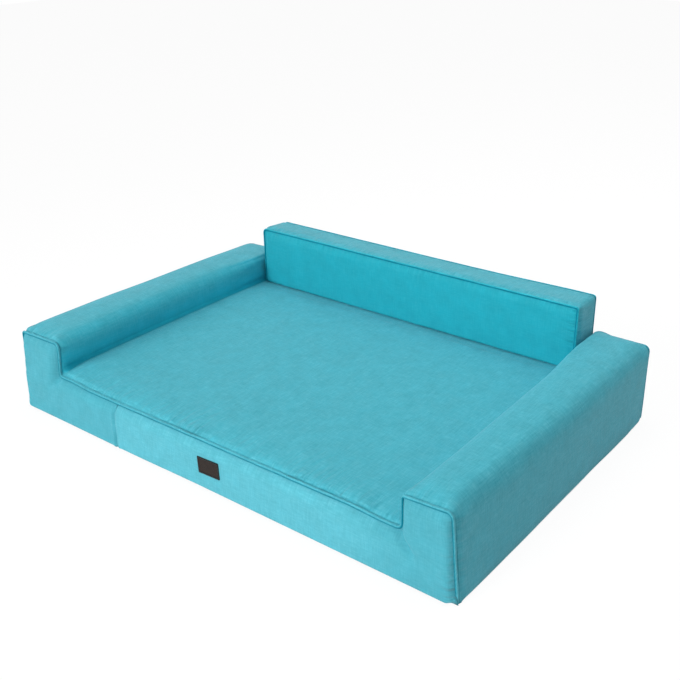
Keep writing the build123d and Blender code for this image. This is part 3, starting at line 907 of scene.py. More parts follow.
def body_line():
    """The stepped outline of the cloth in the middle of the body, with its length at each point."""
    thick = 0.003
    points = stepped_points(-thick, 0, SEAT - thick, SEAT - thick)
    line = rounded(points, stepped_radii(MIDDLE_CORNERS, -thick), *FINE_STEPS)
    return even_line(line, SPACING, True)


def line_tree(line, y=0.0):
    """A search tree of an outline's points at depth y."""
    tree = KDTree(len(line))
    for i, (x, z) in enumerate(line):
        tree.insert((x, y, z), i)
    tree.balance()
    return tree


def on_line(points, line, lengths):
    """The length along an outline of the place nearest to each point, seen from the front."""
    tree = line_tree(line)
    nearest = np.array([tree.find((p[0], 0, p[2]))[1] for p in points])
    offset = points[:, [0, 2]] - line[nearest]
    return lengths[nearest] + np.sum(offset * tangents(line)[nearest], axis=1)


def gathers(u, distance, seed, height, reach=0.02, tilt=0.35, pitch=0.011):
    """Small waves that run away from a seam and die out over their reach."""
    shape = smooth(distance, 0.003, 0.009) * np.exp(-np.maximum(distance - 0.009, 0) / reach)
    wave = soft_noise((u + tilt * distance) / pitch, distance / 0.05 + 7.3, seed)
    wave += 0.5 * soft_noise((u - 0.6 * tilt * distance) / (pitch * 0.55), distance / 0.03 + 3.1, seed + 1)
    strength = 0.55 + 0.45 * soft_noise(u / 0.07, u * 0 + 0.5, seed + 2)
    return height * shape * wave * strength


def hump(distance, middle, height, width):
    """A smooth ridge, or a groove if its height is below zero."""
    return height * np.exp(-(((distance - middle) / width) ** 2))


def crease(points, start, end, depth, width):
    """Depth of a soft crease along a line on an upright panel."""
    a, b = np.array(start), np.array(end)
    along = b - a
    flat = points[:, [0, 2]]
    t = ((flat - a) @ along) / (along @ along)
    inside = np.clip(t, 0, 1)
    off = np.linalg.norm(flat - (a + inside[:, None] * along), axis=1)
    fade = 1 - smooth(t, 0.35, 1.1)
    return depth * np.exp(-((off / width) ** 2)) * fade


def crown_arms(points, height):
    """Dome the tops of both arms, which rise out of their seams."""
    x, y, z = points.T
    middle = HALF_WIDTH - ARM_WIDTH / 2
    dome = np.clip(1 - ((np.abs(x) - middle) / (ARM_WIDTH / 2 + 0.004)) ** 2, 0, 1)
    along = smooth(y - FRONT_SEAM, 0.0, 0.04) * smooth(BACK_SEAM - y, 0.0, 0.04)
    points[:, 2] += height * dome * along * smooth(z, 0.12, ARM_TOP)


def cut_creases(piece):
    """Put points along the line where each arm stands on the mattress."""
    work = bmesh.new()
    work.from_mesh(piece.data)
    for side in (-1, 1):
        everything = work.verts[:] + work.edges[:] + work.faces[:]
        bmesh.ops.bisect_plane(
            work, geom=everything, plane_co=(side * CREASE_X, 0, CREASE_Z), plane_no=(side, 0, 1), dist=1e-5)
    bmesh.ops.triangulate(work, faces=[f for f in work.faces if len(f.verts) > 4])
    work.to_mesh(piece.data)
    work.free()


def crease_beside_arms(points, depth):
    """Draw the cloth into a crease where each arm stands on the mattress, and give each point's painted shade
    there.
    """
    x, y, z = points.T
    beside = CREASE_X - np.abs(x)
    above = z - CREASE_Z
    along = smooth(y - FRONT_SEAM, 0.003, 0.02) * smooth(BACK_SEAM - y, 0.002, 0.012)
    hollow = (z > 0.085) & (z < 0.15) & (beside > -0.012) & (beside < 0.05)
    bottom = hollow & (np.abs(beside - above) < 2e-4) & (above < 0.012)
    on_seat = hollow & ~bottom & (beside > above)
    on_wall = hollow & ~bottom & (beside <= above) & (beside < 0.014)
    level = along * (1 - smooth(beside, 0.01, 0.035))
    upright = along * (1 - smooth(above, 0.014, 0.038))
    points[:, 2] = np.where(on_seat, z - np.maximum(above, 0) * level, points[:, 2])
    points[:, 0] = np.where(on_wall, x + np.sign(x) * np.maximum(beside, 0) * upright, points[:, 0])
    pull = depth * along
    points[:, 2] -= np.where(on_seat, 0.6 * pull * np.exp(-np.maximum(beside, 0) / 0.0045), 0)
    points[:, 0] += np.where(on_wall, np.sign(x) * 0.3 * pull * np.exp(-np.maximum(above, 0) / 0.0035), 0)
    points[:, 0] += np.where(bottom, 0.2 * np.sign(x) * pull, 0)
    points[:, 2] -= np.where(bottom, 0.65 * pull, 0)
    # Painted shade, strongest at the bottom of the crease and fading up the wall and across the seat
    beyond = np.where(on_seat, np.maximum(beside, 0) / 0.003, np.maximum(above, 0) / 0.007)
    return np.where(bottom | on_seat | on_wall, 0.8 * along * np.exp(-beyond), 0)


def stand_on_floor(points):
    """Sharpen the lower edge of the covers, where the bed's weight presses it on the floor."""
    x, y, z = points.T
    inward = HALF_WIDTH + 0.0008 - np.abs(x)
    above = z - 0.0004
    edge = (above < 0.02) & (inward < 0.02) & (y > FRONT_SEAM - 0.003)
    press = 1 - smooth(np.maximum(inward, above), 0.012, 0.02)
    press *= 1 - smooth(y, 0.25, 0.31)
    push = np.where(edge, np.maximum(np.minimum(inward, above), 0) * press, 0)
    points[:, 0] += np.sign(x) * push
    points[:, 2] -= push


def tightened(values, start, end):
    """Distances from a corner's edge after its radius has gone from start to end."""
    near = values * end / start
    far = end + (values - start) * (2 * start - end) / start
    return np.select([values < 0, values < start, values < 2 * start], [values, near, far], values)


def square_arms_by_backrest(points):
    """Near the backrest the arms' inner edges are firm and square, and lean against it."""
    x, y, z = points.T
    wall, top = HALF_WIDTH - ARM_WIDTH - 0.003, ARM_TOP + 0.005
    behind = smooth(y, 0.1, 0.24)
    inside, below = np.abs(x) - wall, top - z
    start = MIDDLE_CORNERS[5]
    corner = (inside > -0.012) & (inside < 2 * start) & (below > -0.008) & (below < 2 * start)
    moved_x = np.sign(x) * (wall + tightened(inside, start, 0.009))
    moved_z = top - tightened(below, start, 0.009)
    beside = 1 - smooth(inside, start, 2 * start)
    high = 1 - smooth(below, start, 2 * start)
    points[:, 0] += np.where(corner, behind * high * (moved_x - x), 0)
    points[:, 2] += np.where(corner, behind * beside * (moved_z - z), 0)
    lean = 0.003 * behind * smooth(z, 0.108, 0.125) * (1 - smooth(np.abs(x), wall + 0.002, wall + 0.05))
    points[:, 0] -= np.where(np.abs(x) > wall - 0.02, np.sign(x) * lean, 0)


def lean_arm_fronts(points):
    """The arms' fronts lean back a little towards their tops."""
    x, y, z = points.T
    share = 0.35 * smooth(z, 0.05, ARM_TOP) * smooth(np.abs(x), 0.36, 0.41)
    front = y - FRONT_SEAM
    points[:, 1] -= np.where(front < 0, front * share, 0)


def snap_rim(piece, y, outline):
    """Lay the cut rim of a cover exactly on its seam, and paint shade on the cloth in the seam's groove."""
    line, _ = even_line(outline, 0.0015, True)
    tree = line_tree(line)
    tangent = tangents(line)
    points = places(piece)
    for i in np.nonzero(np.abs(points[:, 1] - y) < 2e-5)[0]:
        near = tree.find((points[i, 0], 0, points[i, 2]))[1]
        slide = (points[i, [0, 2]] - line[near]) @ tangent[near]
        points[i, 0], points[i, 2] = line[near] + tangent[near] * slide
    put(piece, points)
    seam = line_tree(line, y)
    add_painted_shade(piece, np.array([np.exp(-(seam.find(point)[2] / 0.0012)) for point in points]))


def settle_body(points):
    """The uneven lean of the front of the body: wider at the floor, with its arms' tops drawn in."""
    x, y, z = points.T
    arm = 0.11
    near = 1 - smooth(y, -0.3, 0.15)
    climb = np.clip(z / ARM_TOP, 0, 1)
    # Left arm: both its sides go inwards towards the top, which rises
    left = 1 - smooth(x, -0.37, -0.3)
    across = np.clip((x + HALF_WIDTH) / arm, 0, 1)
    outer_left = mix(-0.008, 0.001, climb)
    inner_left = 0.014 * smooth(z, 0.03, ARM_TOP)
    left_rise = climb * mix(0.005, 0.008, across)
    # Right arm: its outer side goes inwards towards the top, which sinks
    right = smooth(x, 0.3, 0.37)
    over = np.clip((x - HALF_WIDTH + arm) / arm, 0, 1)
    outer_right = mix(0.0015, -0.0115, climb)
    right_rise = climb**2 * mix(-0.010, -0.004, over)
    # The front's lower left edge comes forward, and the left arm droops at the back
    forward = (1 - smooth(y, -0.33, -0.3)) * (1 - smooth(z, 0.0, 0.03)) * (1 - smooth(x, -0.2, 0.0))
    droop = smooth(y, 0.1, 0.3) * (1 - smooth(x, -0.42, -0.36)) * climb**2
    side = left * mix(outer_left, inner_left, across) + right * mix(0.003, outer_right, over)
    points[:, 0] += near * side
    points[:, 1] -= 0.0025 * forward
    points[:, 2] += near * (left * left_rise + right * right_rise) - 0.006 * droop
    return points


def join_relief(x, z, gather):
    """Relief of the front panel's sewn join, below the seat, with its seam allowance laid to the left."""
    across = x - JOIN_X
    groove = hump(across, 0, -0.0032, 0.0019)
    ridge = hump(across, -0.0055, 0.0011, 0.0032) + hump(across, 0.006, 0.0006, 0.004)
    tuck = gathers(z, np.abs(across), 71, 0.35 * gather, reach=0.01, tilt=0.1, pitch=0.012)
    return (groove + ridge + tuck) * (1 - smooth(z, 0.086, 0.094))


def level_body(points, front, back, seat, under):
    """Lay the cloth level under the backrest, behind the label, round the zip and on the floor."""
    x, y, z = points.T
    panel = -0.006
    label_half, label_low, label_high = 0.027, 0.02, 0.056
    zip_half, zip_low, zip_high = 0.446, 0.0135, 0.0425
    floor_end = 0.312
    rests = window(x, -REST_HALF, REST_HALF, 0.004) * window(y, REST_FRONT, REST_BACK, 0.012)
    ease(points, 2, SEAT - 0.00005, np.where(seat, rests, 0))
    label = window(x - LABEL_RIGHT, -label_half, label_half, 0.016)
    label = label * window(z - LABEL_UP, label_low, label_high, 0.012)
    ease(points, 1, FRONT_FACE, np.where(front < panel, label, 0))
    zip_place = window(x, -zip_half, zip_half, 0.008) * window(z, zip_low, zip_high, 0.006)
    ease(points, 1, BACK_FACE, np.where(back < panel, zip_place, 0))
    flat = smooth(HALF_UNDERSIDE + 0.006 - np.abs(x), 0, 0.004) * window(y, -floor_end, floor_end, 0.004)
    ease(points, 2, UNDERSIDE_CLOTH, np.where(under & (z < 0.02), flat, 0))
    points[:, 2] = np.maximum(points[:, 2], 0.0002)


def shape_body(piece, sizes):
    """Gathers, creases and the sewn join, and level places where something lies on the cloth."""
    gather = sizes.gather
    points = places(piece)
    out = normals(piece)
    crown_arms(points, sizes.arm_crown)
    square_arms_by_backrest(points)
    # Painted shade in the creases where the arms stand on the mattress
    add_painted_shade(piece, crease_beside_arms(points, sizes.crease))
    stand_on_floor(points)
    lean_arm_fronts(points)
    line, lengths = body_line()
    u = on_line(points, line, lengths)
    x, y, z = points.T
    front = y - FRONT_SEAM
    back = BACK_SEAM - y
    wrap = (front > 0) & (back > 0)
    upward = np.clip(out[:, 2], 0, 1)
    seat = (np.abs(x) < SEAT_HALF) & (upward > 0.5) & (z < SEAT_HIGHEST)
    under = (out[:, 2] < -0.5) & (np.abs(x) < HALF_UNDERSIDE + 0.005)
    move = np.zeros(len(points))
    # Gathers behind the front cord, wider on the seat than elsewhere, and before the back one
    wide = gathers(u, np.abs(front), 11, 1.5 * gather, reach=0.03, tilt=0.3, pitch=0.017)
    fine = gathers(u, np.abs(front), 21, gather, reach=0.013)
    move += np.where(wrap & (front < 0.2), np.where(seat, wide, 0.7 * fine), 0)
    move += np.where(wrap & (back < 0.15) & ~under, gathers(u, back, 31, 0.8 * gather, reach=0.014), 0)
    # Puckers on both sides of the upright cords at the outer corners
    upright = (np.abs(np.abs(x) - HALF_WIDTH) < 0.05) & (z < 0.14)
    ripple = gathers(z, HALF_WIDTH - np.abs(x), 41, 1.2 * gather, reach=0.012, tilt=0.2, pitch=0.012)
    move += np.where((front < 0) & upright, ripple, 0)
    ripple = gathers(z, front, 51, 1.6 * gather, reach=0.013, tilt=0.15, pitch=0.013)
    move += np.where(wrap & (front < 0.08) & (np.abs(x) > 0.48), ripple, 0)
    # Cloth is fuller where the cord turns a corner
    full = gathers(u, front, 61, 1.8 * gather, reach=0.02, tilt=0.5, pitch=0.01)
    for corner in (-HALF_WIDTH, ARM_WIDTH - HALF_WIDTH, HALF_WIDTH - ARM_WIDTH, HALF_WIDTH):
        near = np.exp(-(((x - corner) ** 2 + (z - ARM_TOP) ** 2) / 0.03**2))
        move += np.where(wrap & (front < 0.12), near * full, 0)
    # Creases that run down and out from the foot of each arm
    for side, seat_side, deep in ((1, SEAT_RIGHT, 0.0062), (-1, SEAT_LEFT, 0.0035)):
        start = (side * 0.4, seat_side - 0.008)
        pull = crease(points, start, (start[0] + side * 0.036, start[1] - 0.03), deep, width=0.0065)
        move -= np.where(front < 0.0, pull, 0)
    move += join_relief(x, z, gather) * (front < 0)
    # Soft unevenness of the whole cover
    slow = soft_noise(u / 0.11, y / 0.13, 81) * 0.0009 + soft_noise(u / 0.045, y / 0.06, 82) * 0.00035
    slow *= smooth(np.minimum(np.abs(front), np.abs(back)), 0.004, 0.04)
    move += np.where(under, 0, slow)
    points += out * move[:, None]
    level_body(points, front, back, seat, under)
    put(piece, points)


def weave_on_wrap(piece):
    """Lay the cloth's grid round the body, and mark where it puckers and where light and shade are painted.
    """
    line, lengths = body_line()
    points = places(piece)
    u = on_line(points, line, lengths)
    set_uv(piece, np.column_stack([u, points[:, 1]]))
    x, y, z = points.T
    front, back = y - FRONT_SEAM, BACK_SEAM - y
    # Puckers behind the front cord reach further on the seat than elsewhere
    seat_reach, other_reach, back_reach = 0.034, 0.016, 0.014
    uneven = np.clip(0.65 + 0.6 * soft_noise(u / 0.06, u * 0 + 0.5, 91), 0, 1.2)
    reach = np.where((np.abs(x) < SEAT_HALF) & (z < SEAT_HIGHEST), seat_reach, other_reach)
    marks = smooth(front, 0.001, 0.005) * np.exp(-front / reach) + 0.7 * np.exp(-back / back_reach)
    mark(piece, "PuckerU", marks * uneven)
    # Painted light and shade: a saturated tint for the shade and bounced light on the arms' inner walls,
    # painted shade at their feet, and outer sides painted a little darker
    inner_limit, outer_limit = 0.42, 0.47
    sideways = -np.sign(x) * normals(piece)[:, 0]
    inner = np.abs(x) < inner_limit
    shaded = smooth(sideways, 0.3, 0.8) * inner * smooth(z, 0.088, 0.1)
    mark(piece, "ShadeTint", shaded * (1 - 0.6 * smooth(z, 0.118, 0.148)))
    add_painted_shade(piece, 0.2 * smooth(-sideways, 0.5, 0.95) * (np.abs(x) > outer_limit))
    foot = (np.abs(x) > CREASE_X - 0.002) * inner * smooth(np.minimum(front, back), 0.003, 0.02)
    add_painted_shade(piece, 0.36 * foot * smooth(sideways, 0.2, 0.7) * (1 - smooth(z, 0.104, 0.134)))


def weave_on_panel(piece, half, top):
    """Lay the cloth's grid straight on an upright panel, mark the puckers beside its seams, and mark painted
    shade.
    """
    points = places(piece)
    set_uv(piece, points[:, [0, 2]])
    x, z = points[:, 0], points[:, 2]
    roll, side_reach, top_reach = 0.004, 0.011, 0.009
    upright = np.exp(-np.maximum(half - roll - np.abs(x), 0) / side_reach)
    uneven = np.clip(0.7 + 0.6 * soft_noise(z / 0.05 + x, z * 0 + 0.5, 92), 0, 1.2)
    mark(piece, "PuckerV", upright * uneven)
    mark(piece, "PuckerU", 0.6 * np.exp(-np.maximum(top - roll - z, 0) / top_reach))
    # Painted shade: the front's left piece and both ends are darker and more saturated, and the backrest's
    # faces are darker towards the mattress
    if piece.name.startswith("front_panel"):
        left_cut = 1 - smooth(x, JOIN_X - 0.001, JOIN_X + 0.001)
        mark(piece, "ShadeTint", 0.45 * np.maximum(left_cut, smooth(np.abs(x), 0.28, 0.44)))
    elif half != HALF_WIDTH:
        add_painted_shade(piece, 0.16 * (1 - smooth(z, 0.11, 0.21)))


def cut_slot(piece, face, pocket_floor, half_slot, half_tapes, height):
    """Cut a zip's slot through a back panel, and the pocket behind it for the tapes and slider."""
    clear, slot_depth, cloth = 0.02, 0.0025, 0.0012
    for low, high, half_x, half_z in (
        (face - slot_depth, face + clear, half_slot, HALF_SLOT),
        (pocket_floor, face - cloth, half_tapes, HALF_POCKET),
    ):
        choose(piece)
        middle = (0, (low + high) / 2, height)
        cutter = primitive("slot", bpy.ops.mesh.primitive_cube_add, size=1, location=middle)
        cutter.scale = (2 * half_x, high - low, 2 * half_z)
        settle(cutter)
        modifier = piece.modifiers.new("Slot", "BOOLEAN")
        modifier.operation = "DIFFERENCE"
        modifier.solver = "EXACT"
        modifier.object = cutter
        apply_all(piece)
        bpy.data.objects.remove(cutter)


class DOGBED_OT_body_covers(bpy.types.Operator):
    """Make the padded covers of the body: the wrap, both front panels and the rear panel"""

    bl_idname = "dog_bed.body_covers"
    bl_label = "Body covers"

    def execute(self, context):
        sizes = context.scene.bed_sizes
        body = body_solid()
        remesh(body, sizes.voxel)
        points = places(body)
        x, y, z = points.T
        held = seam_hold(points, (FRONT_SEAM, BACK_SEAM))
        on_floor = (z < 0.004) & (np.abs(x) < 0.49)
        under_rest = (np.abs(x) < REST_HALF) & (y > REST_FRONT) & (y < BACK_SEAM) & (z > 0.08) & (z < 0.125)
        held = np.where(on_floor | under_rest, 1.0, held)
        puff(body, held, sizes.swell, sizes.pressure, sizes.fullness)
        subdivide(body)
        cut_creases(body)
        shape_body(body, sizes)
        wrap = cut_part(body, "base_cover_wrap_padded", [
            ((0, FRONT_SEAM + SEAM_GAP, 0), (0, -1, 0)), ((0, BACK_SEAM - SEAM_GAP, 0), (0, 1, 0))])
        front = ((0, FRONT_SEAM - SEAM_GAP, 0), (0, 1, 0))
        left = cut_part(body, "front_panel_left_padded", [front, ((JOIN_X - 0.00012, 0, 0), (1, 0, 0))])
        right = cut_part(body, "front_panel_right_padded", [front, ((JOIN_X + 0.00012, 0, 0), (-1, 0, 0))])
        rear = cut_part(body, "rear_panel_padded", [((0, BACK_SEAM + SEAM_GAP, 0), (0, -1, 0))])
        bpy.data.objects.remove(body)
        for panels, seam, inward, tuck, corners, seats in (
            ((left, right), FRONT_SEAM, SEAM_GAP, FRONT_TUCK, FRONT_CORNERS, (SEAT_LEFT, SEAT_RIGHT)),
            ((rear,), BACK_SEAM, -SEAM_GAP, BACK_TUCK, BACK_CORNERS, (SEAT_BACK, SEAT_BACK)),
        ):
            outline = rounded(stepped_points(tuck, 0.0004, *seats), stepped_radii(corners, tuck))
            snap_rim(wrap, seam + inward, outline)
            for panel in panels:
                snap_rim(panel, seam - inward, outline)
        cut_slot(rear, BACK_FACE, *BASE_ZIP)
        weave_on_wrap(wrap)
        stands_for = ("base_cover_wrap", "mattress_foam", "left_arm_foam", "right_arm_foam")
        finish_piece(wrap, "base", "cover_cloth", cover_material(), *stands_for)
        for piece, node, cloth in (
            (left, "front_panel_left", front_material()),
            (right, "front_panel_right", front_material()),
            (rear, "rear_panel", cover_material()),
        ):
            weave_on_panel(piece, HALF_WIDTH, ARM_TOP)
            finish_piece(piece, "base", "cover_cloth", cloth, node)
        for piece in (wrap, left, right, rear):
            put(piece, settle_body(places(piece)))
        return {"FINISHED"}


class DOGBED_OT_underside(bpy.types.Operator):
    """Make the cloth of the underside, flat on the floor and drawn up to the seams"""

    bl_idname = "dog_bed.underside"
    bl_label = "Underside"

    def execute(self, context):
        cloth = primitive(
            "underside_cloth", bpy.ops.mesh.primitive_grid_add, x_subdivisions=96, y_subdivisions=130, size=1)
        wide, deep = 2 * HALF_UNDERSIDE - 0.002, BACK_SEAM - FRONT_SEAM - 0.002
        put(cloth, places(cloth) * (wide, deep, 1) + (0, 0, 0.0001))
        wall = cloth.modifiers.new("Cloth", "SOLIDIFY")
        wall.thickness = 0.001
        wall.offset = 1.0
        apply_all(cloth)
        outward_normals(cloth)
        finish_piece(cloth, "base", "underside_cloth", underside_material(), "bottom_panel")
        return {"FINISHED"}


# Piping


def piping_line(outline, y, closed, seed):
    """A cord's line at an even spacing with the slight waver of a sewn one, and its inward direction."""
    line, lengths = even_line(outline, SPACING, closed)
    if closed:
        tangent = tangents(line)
    else:
        tangent = np.gradient(line, axis=0)
        tangent /= np.linalg.norm(tangent, axis=1, keepdims=True)
    inward = np.column_stack([tangent[:, 1], np.zeros(len(line)), -tangent[:, 0]])
    path = at_depth(line, y)
    in_depth, in_outline = 0.00035, 0.0003
    path[:, 1] += soft_noise(lengths / 0.035, lengths * 0 + 0.5, seed) * in_depth
    path += inward * (soft_noise(lengths / 0.05, lengths * 0 + 0.5, seed + 1) * in_outline)[:, None]
    return path, inward, lengths


def piping(name, outline, welt_outer, welt_inner, y, closed, seed, radius):
    """A piped seam: the cord in its cloth, and the flat welt behind it."""
    path, inward, lengths = piping_line(outline, y, closed, seed)
    girth = radius * (1 + 0.035 * soft_noise(lengths / 0.012, lengths * 0 + 0.5, seed + 2))
    cord = tube(name, path, girth, inward, closed)
    angles = np.arange(CORD_SIDES) / CORD_SIDES * 2 * pi
    set_uv(cord, np.column_stack([np.repeat(lengths, CORD_SIDES), np.tile(angles * radius, len(path))]))
    # Painted shade on the side of the cord that faces into the seam
    mark(cord, "PaintedShade", np.tile(smooth(np.abs(angles - pi), radians(58), radians(88)), len(path)))
    count = len(welt_outer)
    points = []
    for offset in (-HALF_WELT * 0.9, HALF_WELT * 0.9):
        points.extend(at_depth(welt_outer, y + offset))
        points.extend(at_depth(welt_inner, y + offset))
    faces = []
    for i in range(count if closed else count - 1):
        k = (i + 1) % count
        a, b, c, d = i, k, count + k, count + i
        faces.append((a, b, c, d))
        faces.append((2 * count + d, 2 * count + c, 2 * count + b, 2 * count + a))
        faces.append((a, 2 * count + a, 2 * count + b, b))
        faces.append((d, c, 2 * count + c, 2 * count + d))
    if not closed:
        faces.append((0, count, 3 * count, 2 * count))
        faces.append((count - 1, 3 * count - 1, 4 * count - 1, 2 * count - 1))
    welt = add_mesh(name + "_welt", points, faces)
    outward_normals(welt)
    outward_normals(cord)
    set_uv(welt, places(welt)[:, [0, 2]])
    # Painted shade all over the welt, which lies deep in the seam
    mark(welt, "PaintedShade", np.ones(len(welt.data.vertices)))
    for piece in (cord, welt):
        for polygon in piece.data.polygons:
            polygon.use_smooth = piece is cord
    return join(name, [cord, welt])


def open_outline(points, radii, start, end):
    """An outline that is open along the floor."""
    return rounded([start, *points, end], [0, *radii, 0], *CORD_STEPS, closed=False)


class DOGBED_OT_body_piping(bpy.types.Operator):
    """Make the corded seams round the front and the back of the body"""

    bl_idname = "dog_bed.body_piping"
    bl_label = "Body piping"

    def execute(self, context):
        stout = context.scene.bed_sizes.cord_radius
        for name, node, y, corners, seats, radius, seed in (
            ("base_front_piping_corded", "base_front_piping", FRONT_SEAM, FRONT_CORNERS,
             (SEAT_LEFT, SEAT_RIGHT), stout, 201),
            ("base_rear_piping_thin", "base_rear_piping", BACK_SEAM, BACK_CORNERS,
             (SEAT_BACK, SEAT_BACK), THIN_CORD_RADIUS, 211),
        ):
            lines = []
            for inset in (radius, radius, radius + WELT_DEPTH):
                points = stepped_points(inset, inset, *seats)
                radii = stepped_radii(corners, inset)
                turned_in = 0.002
                start = (points[0][0] + radii[0] + turned_in, inset)
                end = (points[-1][0] - radii[-1] - turned_in, inset)
                lines.append(open_outline(points, radii, start, end))
            cord = piping(name, lines[0], lines[1], lines[2], y, False, seed, radius)
            points = settle_body(places(cord))
            points[:, 2] = np.maximum(points[:, 2], 0.0001)
            put(cord, points)
            finish_piece(cord, "base", "piping", piping_material(), node)
        return {"FINISHED"}


class DOGBED_OT_backrest_piping(bpy.types.Operator):
    """Make the corded seams round both faces of the backrest"""

    bl_idname = "dog_bed.backrest_piping"
    bl_label = "Backrest piping"

    def execute(self, context):
        stout = context.scene.bed_sizes.cord_radius
        for name, node, y, radius, seed in (
            ("backrest_front_piping_corded", "backrest_front_piping", BACKREST_FRONT_SEAM, stout, 301),
            ("backrest_rear_piping_thin", "backrest_rear_piping", BACKREST_BACK_SEAM, THIN_CORD_RADIUS, 311),
        ):
            lines = []
            for inset in (radius, radius, radius + WELT_DEPTH):
                points = backrest_points(inset, BACKREST_FLOOR + inset)
                lines.append(rounded(points, backrest_radii(BACKREST_CORNERS, inset), *CORD_STEPS))
            cord = piping(name, lines[0], lines[1], lines[2], y, True, seed, radius)
            points = settle_backrest(places(cord))
            points[:, 2] = np.maximum(points[:, 2], BACKREST_FLOOR + 0.00005)
            put(cord, points)
            finish_piece(cord, "backrest", "piping", backrest_piping_material(), node)
        return {"FINISHED"}


# The backrest's covers


def settle_backrest(points):
    """The backrest's slack: its top falls a little towards the back, most of all at the left."""
    x, y, z = points.T
    slack = smooth(y, BACKREST_FRONT_SEAM + 0.01, BACKREST_BACK_SEAM) * smooth(z, 0.17, BACKREST_TOP)
    points[:, 2] -= 0.004 * slack * (1 - 0.85 * smooth(x, 0.1, BACKREST_HALF))
    return points


def boxing_section(distance):
    """Section of the backrest's edge band at a distance behind its front seam, before it swells."""
    depth = BACKREST_BACK_SEAM - BACKREST_FRONT_SEAM
    nearest = min(distance, depth - distance)
    tuck = FRONT_TUCK if distance < depth / 2 else BACK_TUCK
    drawn_in = tuck * (1 - rise(nearest, TUCK_ROLL))
    share = rise(nearest, depth / 2)
    floor = mix(BACKREST_LOWER_SEAM, BACKREST_UNDERSIDE, rise(nearest, TUCK_ROLL))
    corners = [mix(a, b, share) for a, b in zip(BACKREST_CORNERS, BACKREST_MIDDLE)]
    line = rounded(backrest_points(drawn_in, floor), backrest_radii(corners, drawn_in))
    return at_depth(line, BACKREST_FRONT_SEAM + distance)


def backrest_panel_section(share, seam, outward, bulge, tuck):
    """Section of a backrest panel that bulges out of its seam, at a share of the way to its flat middle."""
    inset = tuck + 0.018 * share
    floor = BACKREST_LOWER_SEAM + 0.006 * share
    line = rounded(backrest_points(inset, floor), backrest_radii(BACKREST_CORNERS, inset))
    return at_depth(line, seam + outward * bulge * (1 - (1 - share) ** 2))


def backrest_solid():
    """The whole backrest as one closed solid, a little smaller than the cloth over it will be."""
    depth = BACKREST_BACK_SEAM - BACKREST_FRONT_SEAM
    steps = (*NEAR_SEAM, depth / 2, *(depth - step for step in reversed(NEAR_SEAM)))
    front = (BACKREST_FRONT_SEAM, -1, 0.0062, FRONT_TUCK)
    back = (BACKREST_BACK_SEAM, 1, 0.0038, BACK_TUCK)
    sections = [backrest_panel_section(share, *front) for share in PANEL_SHARES]
    sections += [boxing_section(step) for step in steps]
    sections += [backrest_panel_section(share, *back) for share in reversed(PANEL_SHARES)]
    return loft("backrest_cover", sections)


def backrest_line():
    """The outline of the backrest's edge band, with its length at each point."""
    thick = 0.0025
    points = backrest_points(-thick, BACKREST_UNDERSIDE)
    line = rounded(points, backrest_radii(BACKREST_MIDDLE, -thick), *FINE_STEPS)
    return even_line(line, SPACING, True)


def level_backrest(points, front, back, under):
    """Lay the cloth level at the foot of the front face, over the hook strips and round the zip."""
    x, y, z = points.T
    foot_half, strips_half, strips_front, strips_back = 0.372, 0.375, 0.272, 0.303
    zip_half, zip_low, zip_high = 0.335, 0.1193, 0.1483
    foot = window(x, -foot_half, foot_half, 0.012) * (1 - smooth(z, 0.114, 0.135))
    ease(points, 1, BACKREST_FRONT_FACE + 0.0006, np.where(front < -0.001, 0.85 * foot, 0))
    flat = window(x, -strips_half, strips_half, 0.008) * window(y, strips_front, strips_back, 0.004)
    ease(points, 2, BACKREST_UNDERSIDE, np.where(under, flat, 0))
    zip_place = window(x, -zip_half, zip_half, 0.008) * window(z, zip_low, zip_high, 0.006)
    ease(points, 1, BACKREST_BACK_FACE, np.where(back < -0.002, zip_place, 0))
    points[:, 2] = np.maximum(points[:, 2], BACKREST_UNDERSIDE - 0.0001)


def shape_backrest(piece, gather):
    """Gathers at the backrest's seams, soft unevenness, and level places on its underside and its zip."""
    points = places(piece)
    out = normals(piece)
    line, lengths = backrest_line()
    u = on_line(points, line, lengths)
    x, y, z = points.T
    front = y - BACKREST_FRONT_SEAM
    back = BACKREST_BACK_SEAM - y
    band = (front > 0) & (back > 0)
    under = out[:, 2] < -0.5
    move = np.where(band & ~under, gathers(u, np.minimum(front, back), 111, 0.7 * gather, reach=0.009), 0)
    edge = np.minimum(BACKREST_HALF - np.abs(x), BACKREST_TOP - z)
    move += np.where(~band, gathers(x + z, edge, 121, 0.6 * gather, reach=0.012), 0)
    slow = soft_noise(u / 0.09, y / 0.07 + z / 0.09, 131) * 0.0007
    slow += soft_noise(x / 0.05, z / 0.05 + y / 0.05, 132) * 0.0003
    slow *= smooth(np.minimum(np.abs(front), np.abs(back)), 0.003, 0.012)
    move += np.where(under, 0, slow)
    points += out * move[:, None]
    level_backrest(points, front, back, under & band)
    put(piece, points)


